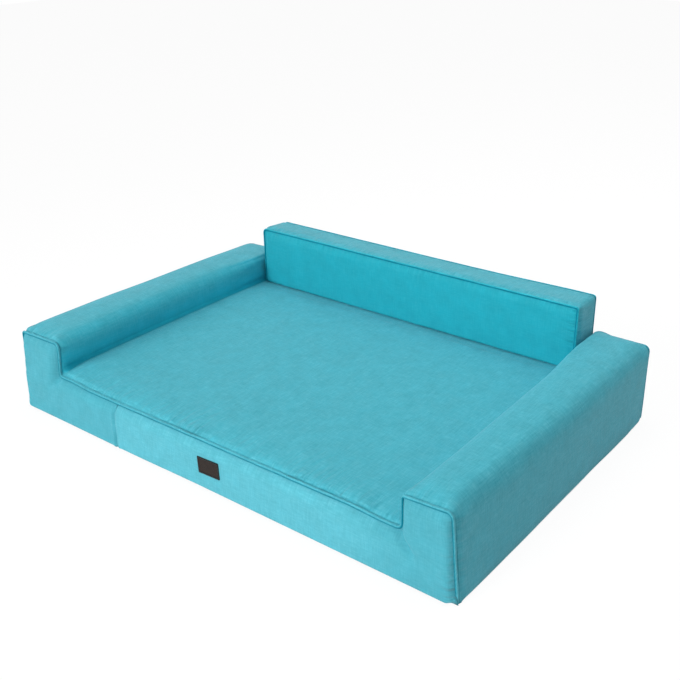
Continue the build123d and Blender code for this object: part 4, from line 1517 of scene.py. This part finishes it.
class DOGBED_OT_backrest_covers(bpy.types.Operator):
    """Make the padded covers of the backrest: its two faces and the band round its edge"""

    bl_idname = "dog_bed.backrest_covers"
    bl_label = "Backrest covers"

    def execute(self, context):
        sizes = context.scene.bed_sizes
        body = backrest_solid()
        remesh(body, sizes.voxel * 0.8)
        points = places(body)
        held = seam_hold(points, (BACKREST_FRONT_SEAM, BACKREST_BACK_SEAM))
        held = np.where(points[:, 2] < BACKREST_UNDERSIDE + 0.004, 1.0, held)
        puff(body, held, sizes.backrest_swell, sizes.pressure, sizes.fullness)
        subdivide(body)
        shape_backrest(body, sizes.gather)
        behind, before = (0, BACKREST_FRONT_SEAM + SEAM_GAP, 0), (0, BACKREST_FRONT_SEAM - SEAM_GAP, 0)
        boxing = cut_part(body, "backrest_boxing_padded", [
            (behind, (0, -1, 0)), ((0, BACKREST_BACK_SEAM - SEAM_GAP, 0), (0, 1, 0))])
        front = cut_part(body, "backrest_front_panel_padded", [(before, (0, 1, 0))])
        rear = cut_part(body, "backrest_rear_panel_padded", [
            ((0, BACKREST_BACK_SEAM + SEAM_GAP, 0), (0, -1, 0))])
        bpy.data.objects.remove(body)
        for panel, seam, inward, tuck in (
            (front, BACKREST_FRONT_SEAM, SEAM_GAP, FRONT_TUCK),
            (rear, BACKREST_BACK_SEAM, -SEAM_GAP, BACK_TUCK),
        ):
            corners = backrest_points(tuck, BACKREST_FLOOR + 0.003)
            outline = rounded(corners, backrest_radii(BACKREST_CORNERS, tuck))
            snap_rim(boxing, seam + inward, outline)
            snap_rim(panel, seam - inward, outline)
        cut_slot(rear, BACKREST_BACK_FACE, *BACKREST_ZIP)
        line, lengths = backrest_line()
        around = places(boxing)
        set_uv(boxing, np.column_stack([on_line(around, line, lengths), around[:, 1]]))
        nearest = np.minimum(around[:, 1] - BACKREST_FRONT_SEAM, BACKREST_BACK_SEAM - around[:, 1])
        mark(boxing, "PuckerU", 0.7 * np.exp(-np.maximum(nearest, 0) / 0.012))
        finish_piece(boxing, "backrest", "cover_cloth", cover_material(), "backrest_boxing", "backrest_foam")
        for piece, node in ((front, "backrest_front_panel"), (rear, "backrest_rear_panel")):
            weave_on_panel(piece, BACKREST_HALF, BACKREST_TOP)
            finish_piece(piece, "backrest", "cover_cloth", backrest_material(), node)
        for piece in (boxing, front, rear):
            put(piece, settle_backrest(places(piece)))
        return {"FINISHED"}


# Label, zips, and hook-and-loop strips


def boxed(name, low, high):
    """A new block between two corners, in edit mode with nothing selected."""
    low, high = Vector(low), Vector(high)
    block = primitive(name, bpy.ops.mesh.primitive_cube_add, size=1, location=(low + high) / 2)
    block.scale = high - low
    settle(block)
    bpy.ops.object.mode_set(mode="EDIT")
    bpy.ops.mesh.select_all(action="DESELECT")
    return block


def pick(piece, faces=None, edges=None):
    """Select the faces or edges of the piece in edit mode that a test picks."""
    work = bmesh.from_edit_mesh(piece.data)
    bpy.ops.mesh.select_all(action="DESELECT")
    bpy.ops.mesh.select_mode(type="FACE" if faces else "EDGE")
    for part in (work.faces if faces else work.edges):
        if (faces or edges)(part):
            part.select_set(True)
    work.select_flush_mode()
    bmesh.update_edit_mesh(piece.data)


def runs_along(axis):
    """A test for edges that run along an axis."""
    return lambda edge: abs((edge.verts[0].co - edge.verts[1].co).normalized()[axis]) > 0.99


def object_mode_smooth(piece, angle):
    """Back to object mode, with smooth shading below an angle."""
    bpy.ops.object.mode_set(mode="OBJECT")
    choose(piece)
    bpy.ops.object.shade_smooth_by_angle(angle=radians(angle))


def repeat(piece, counts_and_steps):
    """Copies of a piece in rows, each along a step."""
    for count, step in counts_and_steps:
        modifier = piece.modifiers.new("Row", "ARRAY")
        modifier.count = count
        modifier.use_relative_offset = False
        modifier.use_constant_offset = True
        modifier.constant_offset_displace = step
    apply_all(piece)


def stitches(name, rows, pitch):
    """Rows of sewn stitches. Each row has its start, its direction, its length and the way it faces."""
    made = []
    half_width, half_height = 0.00024, 0.00013
    for index, (start, along, length, facing) in enumerate(rows):
        stitch = primitive(f"{name}_{index}", bpy.ops.mesh.primitive_uv_sphere_add, segments=6, ring_count=5)
        along, facing = Vector(along), Vector(facing)
        across = facing.cross(along)
        turned = Matrix((along * pitch * 0.42, across * half_width, facing * half_height)).transposed()
        put(stitch, places(stitch) @ np.array(turned).T + np.array(Vector(start) + along * pitch / 2))
        repeat(stitch, [(int(length / pitch), along * pitch)])
        smooth_closed(stitch)
        made.append(stitch)
    return join(name, made)


class DOGBED_OT_label(bpy.types.Operator):
    """Make the bare leather label with its painted rim and its stitches"""

    bl_idname = "dog_bed.label"
    bl_label = "Label"

    def execute(self, context):
        sizes, colours = context.scene.bed_sizes, context.scene.bed_colours
        shift = Vector((LABEL_RIGHT, 0, LABEL_UP))
        low, high = Vector(LABEL_LOW) + shift, Vector(LABEL_HIGH) + shift
        label = boxed("label_patch_bare", low, high)
        pick(label, faces=lambda face: face.normal.y < -0.9)
        rim_width, rim_slope, rim_height = 0.0028, 0.0004, 0.00035
        corner_radius, edge_radius = 0.0014, 0.00018
        bpy.ops.mesh.inset(thickness=rim_width)
        bpy.ops.mesh.inset(thickness=rim_slope)
        bpy.ops.transform.translate(value=(0, rim_height, 0))
        pick(label, edges=runs_along(1))
        bpy.ops.mesh.bevel(offset=corner_radius, segments=4, affect="EDGES")
        pick(label, edges=lambda edge: all(abs(v.co.y - low.y) < 1e-5 for v in edge.verts)
             and any(face.normal.y > -0.5 for face in edge.link_faces))
        bpy.ops.mesh.bevel(offset=edge_radius, segments=2, affect="EDGES")
        object_mode_smooth(label, 35)
        leather = leather_material("Label leather", colours.label, 0.5)
        rim = leather_material("Label rim", colours.label_rim, 0.42)
        finish_piece(label, "base", "label", leather, "label_patch")
        label.data.materials.append(rim)
        middle = (low + high) / 2
        for polygon in label.data.polygons:
            off = polygon.center - middle
            within = [abs(off[k]) < (high[k] - low[k]) / 2 - 0.003 for k in (0, 2)]
            polygon.material_index = 0 if all(within) else 1
        edge, short = 0.0012, 0.004
        wide, tall = high.x - low.x - 2 * short, high.z - low.z - 2 * short
        left, lower, face = low.x + short, low.z + short, low.y
        rows = [
            ((left, face, low.z + edge), (1, 0, 0), wide, (0, -1, 0)),
            ((left, face, high.z - edge), (1, 0, 0), wide, (0, -1, 0)),
            ((low.x + edge, face, lower), (0, 0, 1), tall, (0, -1, 0)),
            ((high.x - edge, face, lower), (0, 0, 1), tall, (0, -1, 0)),
        ]
        sewn = stitches("label_stitches", rows, sizes.stitch_pitch * 0.7)
        turn = Matrix.Translation(middle) @ Matrix.Rotation(-LABEL_TURN, 4, "Y") @ Matrix.Translation(-middle)
        for piece in (label, sewn):
            piece.data.transform(turn)
        finish_piece(sewn, "base", "label", thread_material("Label thread", colours.label_rim))
        return {"FINISHED"}


def coil(name, node, pitch):
    """One row of a zip's nylon coil, as wide and as high as its node."""
    low, high = (Vector(corner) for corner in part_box(node))
    wire, thickness, slant = 0.00034, 0.3, 0.28
    turn = primitive(
        name, bpy.ops.mesh.primitive_torus_add,
        major_segments=8, minor_segments=4, major_radius=1, minor_radius=thickness)
    points = places(turn)
    ring = points[:, :2] / np.linalg.norm(points[:, :2], axis=1, keepdims=True)
    thick = (points[:, :2] - ring) / thickness
    deep, wide = (high.y - low.y) / 2 - wire, (high.z - low.z) / 2 - wire
    y = ring[:, 0] * deep + thick[:, 0] * wire
    z = ring[:, 1] * wide + thick[:, 1] * wire
    x = points[:, 2] / thickness * wire + z * slant
    middle = (low + high) / 2
    put(turn, np.column_stack([x + low.x + pitch, y + middle.y, z + middle.z]))
    repeat(turn, [(int((high.x - low.x) / pitch) - 1, (pitch, 0, 0))])
    smooth_closed(turn)
    return turn


def tape(name, node):
    """One woven tape of a zip, with a thicker cord along its inner edge and its selvedge."""
    low, high = (Vector(corner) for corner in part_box(node))
    strip = primitive(name, bpy.ops.mesh.primitive_grid_add, x_subdivisions=200, y_subdivisions=14, size=1)
    flat = places(strip)
    x = mix(low.x, high.x, flat[:, 0] + 0.5)
    z = mix(low.z, high.z, flat[:, 1] + 0.5)
    edge = np.minimum(z - low.z, high.z - z)
    wave = 0.00004 * np.sin(x * 300) * np.sin(z * 900)
    put(strip, np.column_stack([x, (low.y + high.y) / 2 + wave, z]))
    wall = strip.modifiers.new("Cloth", "SOLIDIFY")
    wall.thickness = high.y - low.y - 0.0002
    wall.offset = 0
    group = strip.vertex_groups.new(name="thick")
    cord, thin = 0.001, 0.65
    for place, share in ((edge > cord, thin), (edge <= cord, 1.0)):
        group.add([int(index) for index in np.nonzero(place)[0]], share, "REPLACE")
    wall.vertex_group = "thick"
    apply_all(strip)
    strip.vertex_groups.clear()
    outward_normals(strip)
    bpy.ops.object.shade_smooth_by_angle(angle=radians(40))
    return strip


def dress(node, material):
    """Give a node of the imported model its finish."""
    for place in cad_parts[node].material_slots:
        place.material = material


class DOGBED_OT_zips(bpy.types.Operator):
    """Make the coils, tapes and stitches of both zips, and finish their sliders, pulls and stops"""

    bl_idname = "dog_bed.zips"
    bl_label = "Zips"

    def execute(self, context):
        sizes, colours = context.scene.bed_sizes, context.scene.bed_colours
        nylon = nylon_material("Zip coil", colours.zip_tape)
        woven = tape_material("Zip tape", colours.zip_tape)
        metal = metal_material("Zip metal", colours.zip_metal)
        thread = thread_material("Zip thread", colours.zip_tape)
        for body, face, half in ZIP_SEAMS:
            for side in ("lower", "upper"):
                node = f"{body}_zip_coil_{side}"
                finish_piece(coil(node + "_turns", node, sizes.coil_pitch), body, "zip_coil", nylon, node)
                node = f"{body}_zip_tape_{side}"
                finish_piece(tape(node + "_woven", node), body, "zip_tape", woven, node)
            low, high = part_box(f"{body}_zip_coil_lower"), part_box(f"{body}_zip_coil_upper")
            height = (low[0][2] + high[1][2]) / 2
            rows = [
                ((-half, face, height + off), (1, 0, 0), 2 * half, (0, 1, 0))
                for off in (-ZIP_SEAM_OFFSET, ZIP_SEAM_OFFSET)
            ]
            sewn = stitches(f"{body}_zip_stitches", rows, sizes.stitch_pitch)
            finish_piece(sewn, body, "zip_tape", thread)
            for part in ("stops", "slider", "pull"):
                dress(f"{body}_zip_{part}", metal)
        return {"FINISHED"}


def pile_strip(name, low, high, upward, rows, tilt, seed):
    """A hook or loop strip: its woven band, and its small arcs of nylon on one face."""
    half = (high.z - low.z) / 2
    band_low, band_high = Vector(low), Vector(high)
    if upward:
        band_high.z -= half
    else:
        band_low.z += half
    band = boxed(name, band_low, band_high)
    pick(band, edges=runs_along(2))
    bpy.ops.mesh.bevel(offset=0.0015, segments=4, affect="EDGES")
    object_mode_smooth(band, 35)
    wire = 0.0001
    arc = primitive(
        name + "_arc", bpy.ops.mesh.primitive_torus_add, major_segments=8, minor_segments=3,
        major_radius=half - wire, minor_radius=wire, rotation=(radians(90), 0, tilt))
    settle(arc)
    level = band_high.z if upward else band_low.z
    margin = 0.0022
    put(arc, places(arc) + np.array([low.x + margin, low.y + margin, level]))
    pitch = (high.y - low.y - 2 * margin) / (rows - 1)
    columns = int((high.x - low.x - 2 * margin) / pitch) + 1
    repeat(arc, [(columns, (pitch, 0, 0)), (rows, (0, pitch, 0))])
    points = places(arc)
    each = len(points) // (columns * rows)
    shift = np.random.RandomState(seed).uniform(-0.2, 0.2, (columns * rows, 2)) * pitch
    points[:, :2] += np.repeat(shift, each, axis=0)
    put(arc, points)
    outward_normals(arc)
    return join(name, [band, arc])


class DOGBED_OT_strips(bpy.types.Operator):
    """Make the hook-and-loop strips between the mattress and the backrest, with their stitches"""

    bl_idname = "dog_bed.strips"
    bl_label = "Hook-and-loop strips"

    def execute(self, context):
        sizes, colours = context.scene.bed_sizes, context.scene.bed_colours
        finish = fuzz_material("Hook and loop", colours.strips)
        thread = thread_material("Strip thread", colours.strips)
        for body, node, upward, rows, tilt in (
            ("base", "base_loop_strips", True, 14, 0.5), ("backrest", "backrest_hook_strips", False, 12, 0.0),
        ):
            low, high = (Vector(corner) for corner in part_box(node))
            made, sewn = [], []
            middle = (low.z + high.z) / 2
            facing = (0, 0, 1 if upward else -1)
            inset = STRIP_SEAM_MARGIN
            for index, left in enumerate((low.x, high.x - STRIP_LENGTH)):
                right = left + STRIP_LENGTH
                start, end = Vector((left, low.y, low.z)), Vector((right, high.y, high.z))
                made.append(pile_strip(f"{node}_{index}", start, end, upward, rows, tilt, 401 + index))
                for y in (low.y + 0.001, high.y - 0.001):
                    sewn.append(((left + inset, y, middle), (1, 0, 0), STRIP_LENGTH - 2 * inset, facing))
                for x in (left + 0.001, right - 0.001):
                    sewn.append(((x, low.y + inset, middle), (0, 1, 0), 0.018, facing))
            finish_piece(join(node + "_pile", made), body, "hook_and_loop", finish, node)
            sewn = stitches(node + "_stitches", sewn, sizes.stitch_pitch)
            finish_piece(sewn, body, "hook_and_loop", thread)
        return {"FINISHED"}


# Stage

# The camera: its sensor in mm, its focal length in the photo's pixels, and where it stands and looks
SENSOR, FOCAL_PIXELS, FRAME_PIXELS = 36, 969.48, 680
CAMERA_PLACE = (1.0599, -1.2744, 0.9385)
CAMERA_TURN, CAMERA_CLIMB, CAMERA_ROLL = radians(38.903), radians(25.303), radians(-1.230)
# Each lamp's name, place, target, size, power in watts and spread in degrees
LAMPS = (
    ("Key", (-0.9, -3.5, 1.35), (0.0, -0.34, 0.05), 2.6, 13.5, 36),
    ("Top", (0.45, 0.4, 3.3), (0, 0, 0), 3.0, 49, 180),
)


class DOGBED_OT_stage(bpy.types.Operator):
    """Make the camera, the floor, the lamps and the white surroundings"""

    bl_idname = "dog_bed.stage"
    bl_label = "Stage"

    def execute(self, context):
        scene = context.scene
        scene.view_settings.view_transform = "Standard"
        lens = bpy.data.cameras.new("Camera")
        lens.sensor_width = SENSOR
        lens.lens = FOCAL_PIXELS / FRAME_PIXELS * SENSOR
        lens.clip_start = 0.05
        lens.clip_end = 60
        camera = bpy.data.objects.new("Camera", lens)
        scene.collection.objects.link(camera)
        turn, climb, roll = CAMERA_TURN, CAMERA_CLIMB, CAMERA_ROLL
        back = Vector((sin(turn) * cos(climb), -cos(turn) * cos(climb), sin(climb)))
        right = Vector((cos(turn), sin(turn), 0))
        up = back.cross(right)
        right, up = right * cos(roll) + up * sin(roll), up * cos(roll) - right * sin(roll)
        facing = Matrix((right, up, back)).transposed()
        camera.matrix_world = Matrix.Translation(CAMERA_PLACE) @ facing.to_4x4()
        scene.camera = camera
        floor = primitive("floor", bpy.ops.mesh.primitive_plane_add, size=14, location=(0, 0, -0.0004))
        floor.data.materials.append(floor_material())
        settle(floor)
        for name, place, target, size, power, spread in LAMPS:
            lamp = bpy.data.lights.new(name, "AREA")
            lamp.shape = "DISK"
            lamp.size = size
            lamp.energy = power
            lamp.spread = radians(spread)
            holder = bpy.data.objects.new(name, lamp)
            holder.visible_glossy = False
            scene.collection.objects.link(holder)
            holder.location = place
            holder.rotation_mode = "QUATERNION"
            holder.rotation_quaternion = (Vector(place) - Vector(target)).to_track_quat("Z", "Y")
        surroundings()
        return {"FINISHED"}


def seen_directly(tree):
    """1 for the camera's own rays and for reflections, and 0 for the light that falls on the object."""
    path = tree.nodes.new("ShaderNodeLightPath")
    either = tree.nodes.new("ShaderNodeMath")
    either.operation = "MAXIMUM"
    tree.links.new(path.outputs["Is Camera Ray"], either.inputs[0])
    tree.links.new(path.outputs["Is Glossy Ray"], either.inputs[1])
    return either.outputs[0]


def split_surface(owner, output, share, plain, white):
    """Show an owner's white where it is seen directly, by a share, and its plain surface otherwise.

    Both are given as the kind of their node, and its colour and strength.
    """
    owner.use_nodes = True
    tree = owner.node_tree
    tree.nodes.clear()
    out = tree.nodes.new(output)
    blend = tree.nodes.new("ShaderNodeMixShader")
    part = tree.nodes.new("ShaderNodeMath")
    part.operation = "MULTIPLY"
    part.inputs[1].default_value = share
    tree.links.new(seen_directly(tree), part.inputs[0])
    tree.links.new(part.outputs[0], blend.inputs[0])
    for socket, (kind, tone, strength) in zip(blend.inputs[1:], (plain, white)):
        node = tree.nodes.new(kind)
        node.inputs["Color"].default_value = (tone, tone, tone, 1)
        if strength is not None:
            node.inputs["Strength"].default_value = strength
        tree.links.new(node.outputs[0], socket)
    tree.links.new(blend.outputs[0], out.inputs["Surface"])


def floor_material():
    """Plain white floor that reads as the background, with the object's soft shadow left on it."""
    material = bpy.data.materials.new("Floor")
    split_surface(
        material, "ShaderNodeOutputMaterial", 0.9,
        plain=("ShaderNodeBsdfDiffuse", 0.86, None), white=("ShaderNodeEmission", 1, 1.03))
    return material


def surroundings():
    """White for the camera and in reflections, and a plain pale light on the object."""
    world = bpy.data.worlds.new("World")
    bpy.context.scene.world = world
    split_surface(
        world, "ShaderNodeOutputWorld", 1.0,
        plain=("ShaderNodeBackground", 1, 0.42), white=("ShaderNodeBackground", 1, 1.0))


CLASSES = (
    BedSizes,
    BedColours,
    DOGBED_OT_stage,
    DOGBED_OT_body_covers,
    DOGBED_OT_underside,
    DOGBED_OT_body_piping,
    DOGBED_OT_backrest_covers,
    DOGBED_OT_backrest_piping,
    DOGBED_OT_label,
    DOGBED_OT_zips,
    DOGBED_OT_strips,
)
STEPS = (
    "stage", "body_covers", "underside", "body_piping", "backrest_covers", "backrest_piping",
    "label", "zips", "strips",
)


class DOGBED_PT_panel(bpy.types.Panel):
    """Sizes, colours and steps of the dog bed"""

    bl_label = "Dog bed"
    bl_idname = "DOGBED_PT_panel"
    bl_space_type = "VIEW_3D"
    bl_region_type = "UI"
    bl_category = "Dog bed"

    def draw(self, context):
        layout = self.layout
        for group in (context.scene.bed_sizes, context.scene.bed_colours):
            column = layout.column(align=True)
            for name in group.bl_rna.properties.keys():
                if name not in ("rna_type", "name"):
                    column.prop(group, name)
        for step in STEPS:
            layout.operator("dog_bed." + step)


def register():
    for item in (*CLASSES, DOGBED_PT_panel):
        bpy.utils.register_class(item)
    bpy.types.Scene.bed_sizes = bpy.props.PointerProperty(type=BedSizes)
    bpy.types.Scene.bed_colours = bpy.props.PointerProperty(type=BedColours)


def unregister():
    del bpy.types.Scene.bed_colours
    del bpy.types.Scene.bed_sizes
    for item in reversed((*CLASSES, DOGBED_PT_panel)):
        bpy.utils.unregister_class(item)


def main():
    """Make every piece in order."""
    register()
    for step in STEPS:
        getattr(bpy.ops.dog_bed, step)()


if __name__ == "__main__":
    main()
